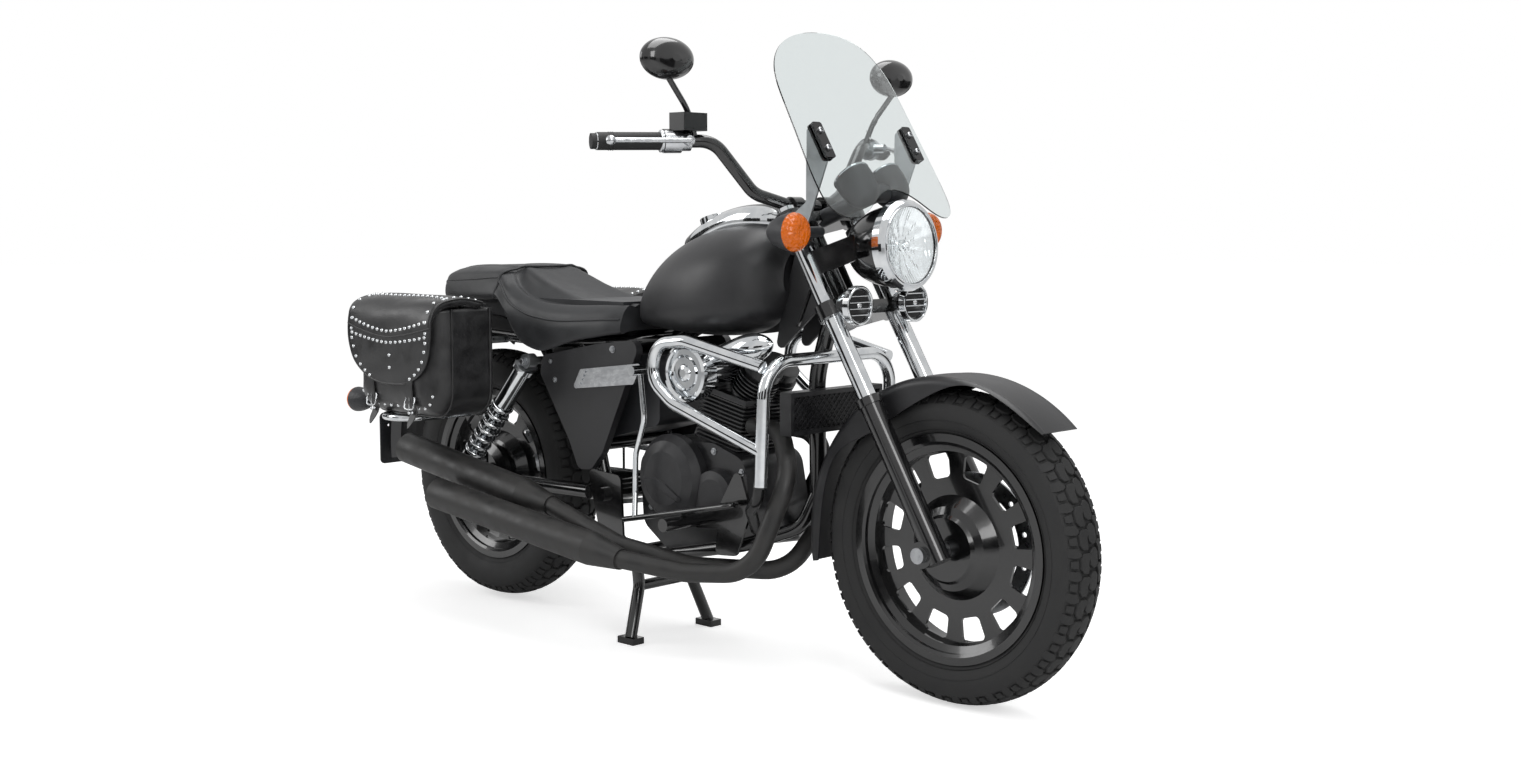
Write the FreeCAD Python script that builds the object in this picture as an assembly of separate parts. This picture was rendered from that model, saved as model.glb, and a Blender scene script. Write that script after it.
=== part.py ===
import FreeCAD, Part
import math
import os

V = FreeCAD.Vector

# Cruiser motorcycle, parked upright on its centre stand.
# +X points to the front wheel, +Y to the rider's left, +Z up, millimetres.
# Places are worked out from the ground point under the rear axle, and the
# finished machine is then moved so that its box is centred on X.

# Driving dimensions of the machine
wheelbase = 1365.0
rake = 31.0
head_x_share = 0.97875
head_z_share = 0.8894
rear_wheel_lift = 8.0         # the centre stand holds the rear tyre this far off the ground
overrun = 4.0                 # how far any cut runs past what it cuts
slip = 0.06                   # radial clearance of a shaft that turns in its hole
gap = 0.4                     # clearance between faces of pieces that move apart
corner_room_share = 0.46      # part of the shorter run that a bend may use

# Wheels: cast disc wheels, 16 inch at the front and 15 inch at the rear
front_tyre_radius = 299.0
front_tyre_width = 108.0
front_flange_radius = 218.0
front_rim_width = 86.0
rear_tyre_radius = 297.0
rear_tyre_width = 122.0
rear_flange_radius = 205.0
rear_rim_width = 94.0
flange_height = 15.0
flange_thickness = 5.0
rim_wall = 6.0
well_depth = 13.0
disc_thickness = 6.0
disc_offset = 8.0
hub_radius = 60.0
hub_half_length = 45.0
dish_rise = 20.0
crown_drop = 14.0
tread_share = 0.80
wheel_holes = 12
wheel_hole_inner_share = 0.70
wheel_hole_outer_share = 0.97
wheel_hole_width_share = 0.31
wheel_hole_corner = 9.0
axle_radius = 8.5
axle_nut_radius = 15.0
axle_nut_length = 11.0
brake_disc_radius = 137.0
brake_disc_inner = 104.0
brake_disc_thickness = 4.5
brake_disc_holes = 12
brake_disc_hole_radius = 5.0
disc_carrier_radius = 52.0
disc_carrier_arms = 6
disc_carrier_arm_width = 16.0
caliper_angle = 120.0          # from straight ahead of the fork, round the front axle
caliper_length = 84.0
caliper_wall = 13.0
caliper_clearance = 5.0
caliper_corner = 12.0
caliper_bracket_thickness = 8.0
caliper_bracket_points = ((18.0, 134.0), (-22.0, 138.0), (-70.0, 112.0), (-66.0, 72.0), (-20.0, 52.0), (18.0, 58.0))
sprocket_radius = 92.0
sprocket_teeth = 30
sprocket_thickness = 6.0
sprocket_tooth_depth = 7.0
chain_line = 84.0
drum_radius = 78.0
drum_depth = 22.0

# Front fork
fork_spread = 190.0
leg_lead = 18.0
steer_set_back = 45.0
slider_radius = 22.0
slider_low = 26.0
slider_top = 313.0
stanchion_radius = 18.0
stanchion_seat_depth = 40.0
dust_seal_radius = 25.0
dust_seal_height = 16.0
lug_radius = 25.0
lower_yoke_mid = 500.0
upper_yoke_mid = 705.0
lower_yoke_thickness = 30.0
upper_yoke_thickness = 22.0
yoke_clamp_radius = 26.0
stem_radius = 14.0
head_tube_radius = 26.0
head_tube_gap = 2.0
steer_lock = 33.0

# Front fender
fender_gap = 25.0
fender_half_width = 65.0
fender_thickness = 3.5
fender_shoulder = 19.0
fender_skirt_depth = 62.0
fender_front_angle = 47.0
fender_rear_angle = 191.0
fender_edge_shares = ((0.00, 0.94), (0.12, 0.88), (0.24, 0.82), (0.33, 0.42), (0.42, 0.10),
                      (0.60, 0.10), (0.68, 0.45), (0.85, 0.44), (1.00, 0.62))

# Handlebar, grips, levers and mirrors
bar_radius = 12.7
grip_radius = 17.0
grip_length = 128.0
bar_end_radius = 15.0
bar_end_length = 12.0
riser_radius = 17.0
riser_spread = 90.0
bar_bend = 60.0
bar_reach = 420.0
bar_route_shares = ((0.985, 0.00, 0.938), (0.984, 0.13, 0.938), (0.955, 0.31, 0.962), (0.932, 0.52, 1.062),
                    (0.824, 1.00, 1.059))
perch_length = 38.0
perch_radius = 19.0
lever_radius = 5.0
lever_ball_radius = 9.5
switch_radius = 23.0
switch_length = 34.0
reservoir_length = 62.0
reservoir_width = 40.0
reservoir_height = 34.0
mirror_width = 128.0
mirror_height = 78.0
mirror_depth = 34.0
mirror_spread = 330.0
mirror_x_share = 0.925
mirror_z_share = 1.212
stem_bar_width = 15.0
stem_bar_thickness = 9.0

# Headlamp, indicators, horns and gauges
headlamp_radius = 87.5
headlamp_bowl_radius = 78.0
headlamp_depth = 132.0
headlamp_pitch = 3.9
headlamp_x_share = 1.245
headlamp_z_share = 0.864
headlamp_ring_depth = 26.0
headlamp_lens_radius = 75.5
headlamp_lens_bulge = 9.0
indicator_radius = 37.0
indicator_depth = 74.0
indicator_spread = 200.0
indicator_x_share = 1.136
indicator_z_share = 0.889
indicator_lens_depth = 16.0
indicator_stalk_radius = 10.0
horn_radius = 38.0
horn_depth = 44.0
horn_spread = 84.0
horn_x_share = 1.190
horn_z_share = 0.750
gauge_radius = 37.0
gauge_depth = 70.0
gauge_spread = 46.0
gauge_tilt = 48.0
gauge_x_share = 1.132
gauge_z_share = 0.994

# Windscreen: a bent sheet that leans back with the fork
screen_lead = 204.0
screen_radius = 850.0
screen_thickness = 3.0
screen_low = 606.0
screen_height = 412.0
screen_half_width = 187.0
screen_outline_shares = ((0.00, 0.13), (0.35, 0.07), (0.62, 0.00), (0.80, 0.00), (0.93, 0.04),
                         (1.00, 0.16), (0.98, 0.40), (0.95, 0.62), (0.87, 0.82), (0.70, 0.92),
                         (0.42, 0.98), (0.00, 1.00))
screen_plate_width = 26.0
screen_plate_height = 78.0
screen_plate_thickness = 6.0
screen_plate_spread = 133.0
screen_plate_mid = 770.0
screen_arm_thickness = 4.0

# Frame tubes
main_tube_radius = 17.0
rail_radius = 14.0
rear_tube_radius = 12.5
tube_bend = 60.0
rail_half_gap = 105.0
seat_rail_half_gap = 112.0
spine_shares = ((0.985, 0.800), (0.840, 0.765), (0.600, 0.655))
downtube_shares = ((1.006, 0.600), (1.010, 0.345))
cradle_shares = ((1.012, 0.00, 0.372), (0.985, 0.20, 0.292), (0.890, 0.85, 0.252), (0.600, 1.00, 0.190),
                 (0.520, 1.00, 0.215), (0.462, 1.00, 0.420), (0.420, 1.00, 0.640))
seat_rail_shares = ((0.600, 0.12, 0.655), (0.520, 0.90, 0.648), (0.300, 1.00, 0.640), (-0.060, 1.00, 0.655),
                    (-0.150, 1.00, 0.640))
seat_strut_shares = ((0.475, 0.400), (0.290, 0.625))
pivot_x_share = 0.500
pivot_z_share = 0.318
pivot_radius = 10.0
pivot_plate_thickness = 6.0
swingarm_radius = 17.0
swingarm_half_gap = 112.0
shock_half_gap = 150.0
shock_lug_thickness = 6.0
pivot_half_gap = 88.0
pivot_arm_half_gap = 56.0
cross_tube_x_share = 0.440
shock_radius = 27.0
shock_rod_radius = 9.0
shock_coil_radius = 4.5
shock_coils = 7
shock_top_shares = (0.279, 0.597)
shock_foot_shares = (0.055, 0.352)

# Tank, console and seat
tank_stations = ((0.572, 0.51, 0.000, 0.36), (0.612, 0.71, -0.006, 0.60), (0.680, 0.88, -0.010, 0.82),
                 (0.760, 0.985, -0.013, 0.945), (0.840, 1.00, -0.010, 1.00), (0.905, 0.88, 0.004, 0.99),
                 (0.945, 0.58, 0.030, 0.905), (0.966, 0.36, 0.074, 0.77))
tank_half_width = 157.0
tank_base_share = 0.686
tank_height = 220.0
console_half_width = 52.0
console_height = 28.0
filler_radius = 36.0
filler_height = 17.0
seat_half_width = 158.0
seat_stations = ((-0.078, 0.80, 0.748, 0.795), (-0.020, 0.96, 0.690, 0.805), (0.090, 1.00, 0.668, 0.806),
                 (0.180, 1.00, 0.655, 0.801), (0.262, 0.99, 0.634, 0.773), (0.360, 1.00, 0.634, 0.743),
                 (0.470, 0.92, 0.655, 0.722), (0.560, 0.62, 0.668, 0.712))
side_cover_shares = ((0.640, 0.662), (0.500, 0.646), (0.318, 0.612), (0.308, 0.572), (0.405, 0.430), (0.436, 0.368),
                     (0.478, 0.372), (0.515, 0.412))
vent_low_shares = ((0.425, 0.545), (0.622, 0.567))
vent_high_shares = ((0.452, 0.589), (0.648, 0.613))
vent_grooves = 4
vent_margin_share = 0.10

# Engine
engine_half_width = 112.0
case_round = 38.0
cylinder_lean = 12.0
barrel_half_length = 66.0
barrel_half_width = 74.0
fin_thickness = 3.0
fin_pitch = 8.5
fin_overhang = 11.0
barrel_fins = 12
head_fins = 6
head_radius = 46.0
head_angle = 24.0
clutch_cover_radius = 92.0
clutch_cover_depth = 42.0
stator_cover_radius = 80.0
stator_cover_depth = 34.0
cleaner_radius = 60.0
cleaner_depth = 40.0
cleaner_x_share = 0.812
cleaner_z_share = 0.605
cleaner_face = 186.0

# Crash bars
crash_radius = 12.7
crash_spread = 190.0
crash_bend = 70.0
crash_foot_shares = (1.030, 0.395)
crash_top_shares = (1.040, 0.640)
crash_bracket_shares = ((1.022, 1.00, 0.372), (0.985, 0.90, 0.345), (0.945, 0.60, 0.295), (0.925, 0.36, 0.272))
loop_route_shares = ((1.035, 0.630), (0.835, 0.672), (0.752, 0.662), (0.738, 0.590), (0.800, 0.545),
                     (1.033, 0.465))

# Radiator
cooler_half_width = 138.0
cooler_height = 84.0
cooler_depth = 30.0
cooler_frame = 9.0
cooler_mesh_pitch = 15.0
cooler_mesh_thickness = 2.0
cooler_x_share = 1.032
cooler_z_share = 0.536

# Exhaust
header_radius = 19.0
header_bend = 90.0
muffler_radius = 36.0
lower_muffler_radius = 35.0
muffler_wall = 3.0
tip_depth = 60.0
header_front_shares = ((0.880, 0.22, 0.492), (0.985, 0.34, 0.492), (1.062, 0.58, 0.420), (1.012, 0.80, 0.226),
                       (0.870, 0.97, 0.214), (0.720, 1.12, 0.226))
header_rear_shares = ((0.880, -0.16, 0.485), (0.962, -0.20, 0.478), (1.000, -0.24, 0.330), (0.950, 0.10, 0.196),
                      (0.800, 0.62, 0.206), (0.640, 0.84, 0.236), (0.430, 0.88, 0.296))
exhaust_reach = 245.0
header_entry_share = 0.7
header_collar_share = 1.16
lower_muffler_shares = ((0.720, 1.12, 0.226), (0.116, 1.165, 0.296))
upper_muffler_shares = ((0.430, 0.88, 0.296), (-0.095, 0.88, 0.374))

# Saddlebags
bag_front_share = 0.212
bag_rear_share = -0.100
bag_floor_share = 0.474
bag_rim_share = 0.716
bag_inner = 204.0
bag_outer = 366.0
bag_wall = 5.0
bag_corner = 26.0
lid_thickness = 6.0
lid_crown = 18.0
lid_flap_drop = 168.0
lid_flap_corner = 72.0
lid_overhang = 5.0
hinge_radius = 4.0
bag_rail_radius = 8.0

# Rear fender, lamps and number plate carrier
rear_fender_radius = 372.0
rear_fender_rise = 45.0
rear_fender_half_width = 88.0
rear_fender_front_angle = 62.0
rear_fender_rear_angle = 186.0
tail_lamp_width = 92.0
tail_lamp_height = 58.0
tail_lamp_depth = 36.0
plate_holder_width = 170.0
plate_holder_height = 130.0
plate_holder_thickness = 4.0
plate_hole_spacing = 120.0
plate_hole_radius = 3.5
rear_indicator_radius = 30.0
rear_indicator_spread = 232.0
rear_indicator_x_share = -0.284
rear_indicator_z_share = 0.478

# Stands
stand_pivot_shares = (0.548, 0.196)
stand_leg_radius = 13.0
stand_foot_lead = 26.0
stand_spread = 236.0
stand_foot_radius = 16.0
stand_pin_radius = 9.0
side_stand_x_share = 0.700
side_stand_z_share = 0.215
side_stand_half_gap = 145.0
side_stand_length = 178.0
side_stand_splay = 12.0
side_stand_radius = 10.0
side_stand_foot_width = 28.0


# The body's scale follows the steering head, so that the frame always meets the fork.
# body_length and body_height are what a share of 1 stands for along X and Z, in whole millimetres.
tilt = math.radians(rake)
steer_n = leg_lead - steer_set_back
head_x = wheelbase + math.cos(tilt) * steer_n - math.sin(tilt) * upper_yoke_mid
head_z = front_tyre_radius + math.sin(tilt) * steer_n + math.cos(tilt) * upper_yoke_mid
body_length = round(head_x / head_x_share)
body_height = round(head_z / head_z_share)


# Helpers for plain shapes
def place(x_share, y, z_share):
    return V(x_share * body_length, y, z_share * body_height)


def mirrored(shape):
    return shape.mirror(V(0, 0, 0), V(0, 1, 0))


def fuse(shapes):
    whole = shapes[0]
    if len(shapes) > 1:
        whole = shapes[0].multiFuse(shapes[1:])
    return whole.removeSplitter()


def pair(shape):
    return Part.makeCompound([shape, mirrored(shape)])


def rod(start, end, radius):
    span = end.sub(start)
    return Part.makeCylinder(radius, span.Length, start, span)


def across(x, z, low, high, radius):
    return rod(V(x, low, z), V(x, high, z), radius)


def block(low, high):
    size = high.sub(low)
    return Part.makeBox(size.x, size.y, size.z, low)


def corner_arc(before, corner, after, bend):
    first = corner.sub(before)
    second = after.sub(corner)
    turn = first.getAngle(second)
    room = corner_room_share * min(first.Length, second.Length)
    radius = min(bend, room / math.tan(turn / 2))
    first.normalize()
    second.normalize()
    setback = radius * math.tan(turn / 2)
    inward = second.sub(first)
    inward.normalize()
    middle = corner.add(inward.multiply(radius / math.cos(turn / 2) - radius))
    start = corner.sub(first.multiply(setback))
    end = corner.add(second.multiply(setback))
    return start, middle, end


def elbow(start, middle, end, radius):
    edge = Part.Arc(start, middle, end).toShape()
    circle = edge.Curve
    heading = circle.Axis.cross(start.sub(circle.Center))
    disc = Part.Face(Part.Wire(Part.Circle(start, heading, radius).toShape()))
    return disc.revolve(circle.Center, circle.Axis, math.degrees(edge.Length / circle.Radius))


def bent_tube(points, radius, bend):
    runs = []
    last = points[0]
    for before, corner, after in zip(points, points[1:], points[2:]):
        start, middle, end = corner_arc(before, corner, after, bend)
        runs.append(rod(last, start, radius))
        runs.append(elbow(start, middle, end, radius))
        last = end
    runs.append(rod(last, points[-1], radius))
    return fuse(runs)


def outline(points, bend):
    if bend == 0:
        return Part.makePolygon(points + [points[0]])
    edges = []
    ring = [points[-1]] + points + [points[0]]
    corners = [corner_arc(a, b, c, bend) for a, b, c in zip(ring, ring[1:], ring[2:])]
    for here, following in zip(corners, corners[1:] + corners[:1]):
        edges.append(Part.Arc(*here).toShape())
        edges.append(Part.LineSegment(here[2], following[0]).toShape())
    return Part.Wire(edges)


def slab(points, bend, sweep):
    return Part.Face(outline(points, bend)).extrude(sweep)


def side_plate(shares, bend, low, high):
    points = [place(x, low, z) for x, z in shares]
    return slab(points, bend, V(0, high - low, 0))


def turned(pairs, foot, heading):
    points = [V(radius, 0, along) for along, radius in pairs]
    face = Part.Face(Part.makePolygon(points + [points[0]]))
    shape = face.revolve(V(0, 0, 0), V(0, 0, 1), 360)
    shape.Placement = FreeCAD.Placement(foot, FreeCAD.Rotation(V(0, 0, 1), heading))
    return shape


def dome(pairs, foot, heading):
    curve = Part.BSplineCurve()
    curve.interpolate([V(radius, 0, along) for along, radius in pairs])
    first = V(0, 0, pairs[0][0])
    last = V(0, 0, pairs[-1][0])
    edges = [curve.toShape()]
    if pairs[-1][1] > 0:
        edges.append(Part.LineSegment(curve.EndPoint, last).toShape())
    edges.append(Part.LineSegment(last, first).toShape())
    if pairs[0][1] > 0:
        edges.append(Part.LineSegment(first, curve.StartPoint).toShape())
    shape = Part.Face(Part.Wire(edges)).revolve(V(0, 0, 0), V(0, 0, 1), 360)
    shape.Placement = FreeCAD.Placement(foot, FreeCAD.Rotation(V(0, 0, 1), heading))
    return shape


def oval_section(x, half_width, low, high, top_power, foot_power, waist_share):
    waist = low + (high - low) * waist_share
    points = []
    steps = 20
    for step in range(steps):
        angle = 2 * math.pi * step / steps
        side = math.cos(angle)
        rise = math.sin(angle)
        power = top_power if rise > 0 else foot_power
        reach = (high - waist) if rise > 0 else (waist - low)
        y = half_width * math.copysign(abs(side) ** power, side)
        z = waist + reach * math.copysign(abs(rise) ** power, rise)
        points.append(V(x, y, z))
    curve = Part.BSplineCurve()
    curve.interpolate(points, True)
    return Part.Wire(curve.toShape())


def loft(wires):
    return Part.makeLoft(wires, True, False)


# The fork's own frame: n forward of the axle line, t up along the legs
fork_up = V(-math.sin(tilt), 0, math.cos(tilt))
fork_lead = V(math.cos(tilt), 0, math.sin(tilt))
front_axle = V(wheelbase, 0, front_tyre_radius)
rear_axle = V(0, 0, rear_tyre_radius + rear_wheel_lift)


def fork_point(n, y, t):
    return front_axle.add(fork_lead * n).add(fork_up * t).add(V(0, y, 0))


def in_fork(shape):
    shape = shape.copy()
    shape.rotate(V(0, 0, 0), V(0, 1, 0), -rake)
    shape.translate(front_axle)
    return shape


# Wheels
def tyre(axle, radius, width, flange_radius, rim_width):
    bead = rim_width / 2 - flange_thickness
    seat_radius = flange_radius - flange_height
    half = width / 2
    shoulder = half * tread_share
    widest = (radius + flange_radius) / 2
    low_bead = V(seat_radius, -bead, 0)
    high_bead = V(seat_radius, bead, 0)
    low_rim = V(flange_radius, -bead, 0)
    high_rim = V(flange_radius, bead, 0)
    low_shoulder = V(radius - crown_drop, -shoulder, 0)
    high_shoulder = V(radius - crown_drop, shoulder, 0)
    edges = [
        Part.LineSegment(low_bead, low_rim).toShape(),
        Part.Arc(low_rim, V(widest, -half, 0), low_shoulder).toShape(),
        Part.Arc(low_shoulder, V(radius, 0, 0), high_shoulder).toShape(),
        Part.Arc(high_shoulder, V(widest, half, 0), high_rim).toShape(),
        Part.LineSegment(high_rim, high_bead).toShape(),
        Part.LineSegment(high_bead, low_bead).toShape(),
    ]
    ring = Part.Face(Part.Wire(edges)).revolve(V(0, 0, 0), V(0, 1, 0), 360)
    ring.translate(axle)
    return ring


def cast_wheel(axle, flange_radius, rim_width):
    half = rim_width / 2
    bead = half - flange_thickness
    seat = flange_radius - flange_height
    under = seat - rim_wall
    well = seat - well_depth
    disc_out = disc_offset + disc_thickness / 2
    disc_in = disc_offset - disc_thickness / 2
    dish = hub_radius + dish_rise
    rolled = dish + dish_rise
    right = [(axle_radius + slip, -hub_half_length), (hub_radius, -hub_half_length),
             (hub_radius + rim_wall, -hub_half_length + rim_wall), (dish, -disc_out - dish_rise),
             (rolled, -disc_out), (well - rim_wall, -disc_out),
             (well - rim_wall, -bead + rim_wall * 2), (under, -bead + rim_wall),
             (under, -bead - flange_thickness / 2), (seat, -half), (flange_radius, -half),
             (flange_radius, -bead), (seat, -bead), (seat, -bead + rim_wall * 2), (well, -bead + rim_wall * 3)]
    left = [(well, bead - rim_wall * 3), (seat, bead - rim_wall * 2), (seat, bead), (flange_radius, bead),
            (flange_radius, half), (seat, half), (under, bead + flange_thickness / 2), (under, bead - rim_wall),
            (well - rim_wall, bead - rim_wall * 2), (well - rim_wall, -disc_in), (dish, -disc_in),
            (hub_radius, hub_half_length), (axle_radius + slip, hub_half_length)]
    points = [V(radius, y, 0) for radius, y in right + left]
    body = Part.Face(Part.makePolygon(points + [points[0]])).revolve(V(0, 0, 0), V(0, 1, 0), 360)
    inner = well * wheel_hole_inner_share
    outer = (well - rim_wall) * wheel_hole_outer_share
    reach = inner * wheel_hole_width_share / 2
    span = outer * wheel_hole_width_share / 2
    cutter_points = [V(inner, -half, -reach), V(outer, -half, -span), V(outer, -half, span), V(inner, -half, reach)]
    cutter = slab(cutter_points, wheel_hole_corner, V(0, rim_width, 0))
    holes = []
    for number in range(wheel_holes):
        hole = cutter.copy()
        hole.rotate(V(0, 0, 0), V(0, 1, 0), 360 * (number + 0.5) / wheel_holes)
        holes.append(hole)
    body = body.cut(Part.makeCompound(holes))
    body.translate(axle)
    return body


def brake_disc():
    near = hub_half_length
    far = near + brake_disc_thickness
    plate = across(0, 0, near, far, brake_disc_radius).cut(
        across(0, 0, near - overrun, far + overrun, brake_disc_inner))
    carrier = across(0, 0, near, far, disc_carrier_radius)
    arms = []
    for number in range(disc_carrier_arms):
        arm = block(V(disc_carrier_radius - overrun, near, -disc_carrier_arm_width / 2),
                    V(brake_disc_inner + overrun, far, disc_carrier_arm_width / 2))
        arm.rotate(V(0, 0, 0), V(0, 1, 0), 360 * number / disc_carrier_arms)
        arms.append(arm)
    disc = fuse([plate, carrier] + arms)
    holes = [across(0, 0, near - overrun, far + overrun, axle_nut_radius + gap)]
    mean = (brake_disc_radius + brake_disc_inner) / 2
    for number in range(brake_disc_holes):
        angle = 2 * math.pi * (number + 0.5) / brake_disc_holes
        holes.append(across(mean * math.cos(angle), mean * math.sin(angle), near - overrun, far + overrun,
                            brake_disc_hole_radius))
    disc = disc.cut(Part.makeCompound(holes))
    disc.translate(front_axle)
    return disc


def sprocket():
    low = chain_line - sprocket_thickness / 2
    root = sprocket_radius - sprocket_tooth_depth
    points = []
    for number in range(sprocket_teeth):
        for share, radius in ((0.0, root), (0.35, root), (0.55, sprocket_radius), (0.80, sprocket_radius)):
            angle = 2 * math.pi * (number + share) / sprocket_teeth
            points.append(V(radius * math.cos(angle), low, radius * math.sin(angle)))
    plate = slab(points, 0, V(0, sprocket_thickness, 0))
    boss = across(0, 0, hub_half_length, low + sprocket_thickness, hub_radius)
    bore = across(0, 0, hub_half_length - overrun, low + sprocket_thickness + overrun, axle_radius + slip)
    wheel = fuse([plate, boss]).cut(bore)
    wheel.translate(rear_axle)
    return wheel


# Fork body
def fork_legs():
    half = fork_spread / 2
    slider = Part.makeCylinder(slider_radius, slider_top + slider_low, V(leg_lead, -half, -slider_low))
    seal = Part.makeCylinder(dust_seal_radius, dust_seal_height, V(leg_lead, -half, slider_top - dust_seal_height))
    lug = rod(V(0, -half - slider_radius, 0), V(0, -half + slider_radius, 0), lug_radius)
    leg = fuse([slider, seal, lug])
    seat = Part.makeCylinder(stanchion_radius + slip, stanchion_seat_depth + overrun,
                             V(leg_lead, -half, slider_top - stanchion_seat_depth))
    eye = rod(V(0, -half - slider_radius - overrun, 0), V(0, -half + slider_radius + overrun, 0), axle_radius + slip)
    return pair(in_fork(leg.cut(seat).cut(eye)))


# A single caliper behind the left leg, drawn ahead of the axle and swung back to its place
def front_caliper():
    near = hub_half_length - caliper_clearance
    far = hub_half_length + brake_disc_thickness + caliper_clearance
    low = brake_disc_inner - caliper_clearance
    high = brake_disc_radius + caliper_clearance + caliper_wall
    half = caliper_length / 2
    body = slab([V(low, near - caliper_wall, -half), V(high, near - caliper_wall, -half),
                 V(high, near - caliper_wall, half), V(low, near - caliper_wall, half)], caliper_corner,
                V(0, far - near + 2 * caliper_wall, 0))
    body = body.cut(across(0, 0, near, far, brake_disc_radius + caliper_clearance))
    body.rotate(V(0, 0, 0), V(0, 1, 0), -caliper_angle)
    side = far + caliper_wall
    plate = slab([V(n, side - overrun, t) for n, t in caliper_bracket_points], caliper_corner,
                 V(0, caliper_bracket_thickness + overrun, 0))
    return in_fork(fuse([body, plate]))


def stanchions():
    foot = slider_top - stanchion_seat_depth
    top = upper_yoke_mid + upper_yoke_thickness
    return pair(in_fork(Part.makeCylinder(stanchion_radius, top - foot, V(leg_lead, -fork_spread / 2, foot))))


def front_axle_bar():
    half = fork_spread / 2 + slider_radius
    bar = across(0, 0, -half, half, axle_radius)
    nuts = [across(0, 0, half, half + axle_nut_length, axle_nut_radius),
            across(0, 0, -half - axle_nut_length, -half, axle_nut_radius)]
    spacers = []
    for low, high in ((hub_half_length + brake_disc_thickness + gap, half - 2 * slider_radius),
                      (-half + 2 * slider_radius, -hub_half_length - gap)):
        spacers.append(across(0, 0, low, high, axle_nut_radius - gap))
    bar = fuse([bar] + nuts + spacers)
    bar.translate(front_axle)
    return bar


def yoke(mid, thickness):
    half = fork_spread / 2
    low = mid - thickness / 2
    clamps = [Part.makeCylinder(yoke_clamp_radius, thickness, V(leg_lead, y, low)) for y in (-half, half)]
    hub = Part.makeCylinder(stem_radius + rim_wall * 1.5, thickness, V(steer_n, 0, low))
    front = leg_lead + yoke_clamp_radius / 2
    corner = leg_lead - yoke_clamp_radius / 2
    back = steer_n - yoke_clamp_radius / 2
    web_points = [V(front, -half, low), V(front, half, low), V(corner, half, low), V(back, 0, low),
                  V(corner, -half, low)]
    web = slab(web_points, 0, V(0, 0, thickness))
    body = fuse(clamps + [hub, web])
    for y in (-half, half):
        body = body.cut(Part.makeCylinder(stanchion_radius, thickness + 2 * overrun, V(leg_lead, y, low - overrun)))
    return body


def yokes():
    low = lower_yoke_mid - lower_yoke_thickness / 2
    high = upper_yoke_mid + upper_yoke_thickness / 2
    stem = Part.makeCylinder(stem_radius, high - low, V(steer_n, 0, low))
    cap = Part.makeCylinder(axle_nut_radius, axle_nut_length, V(steer_n, 0, high))
    return in_fork(fuse([yoke(lower_yoke_mid, lower_yoke_thickness), yoke(upper_yoke_mid, upper_yoke_thickness),
                         stem, cap]))


def polar(axle, angle, radius, y):
    return axle.add(V(radius * math.cos(math.radians(angle)), y, radius * math.sin(math.radians(angle))))


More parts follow.
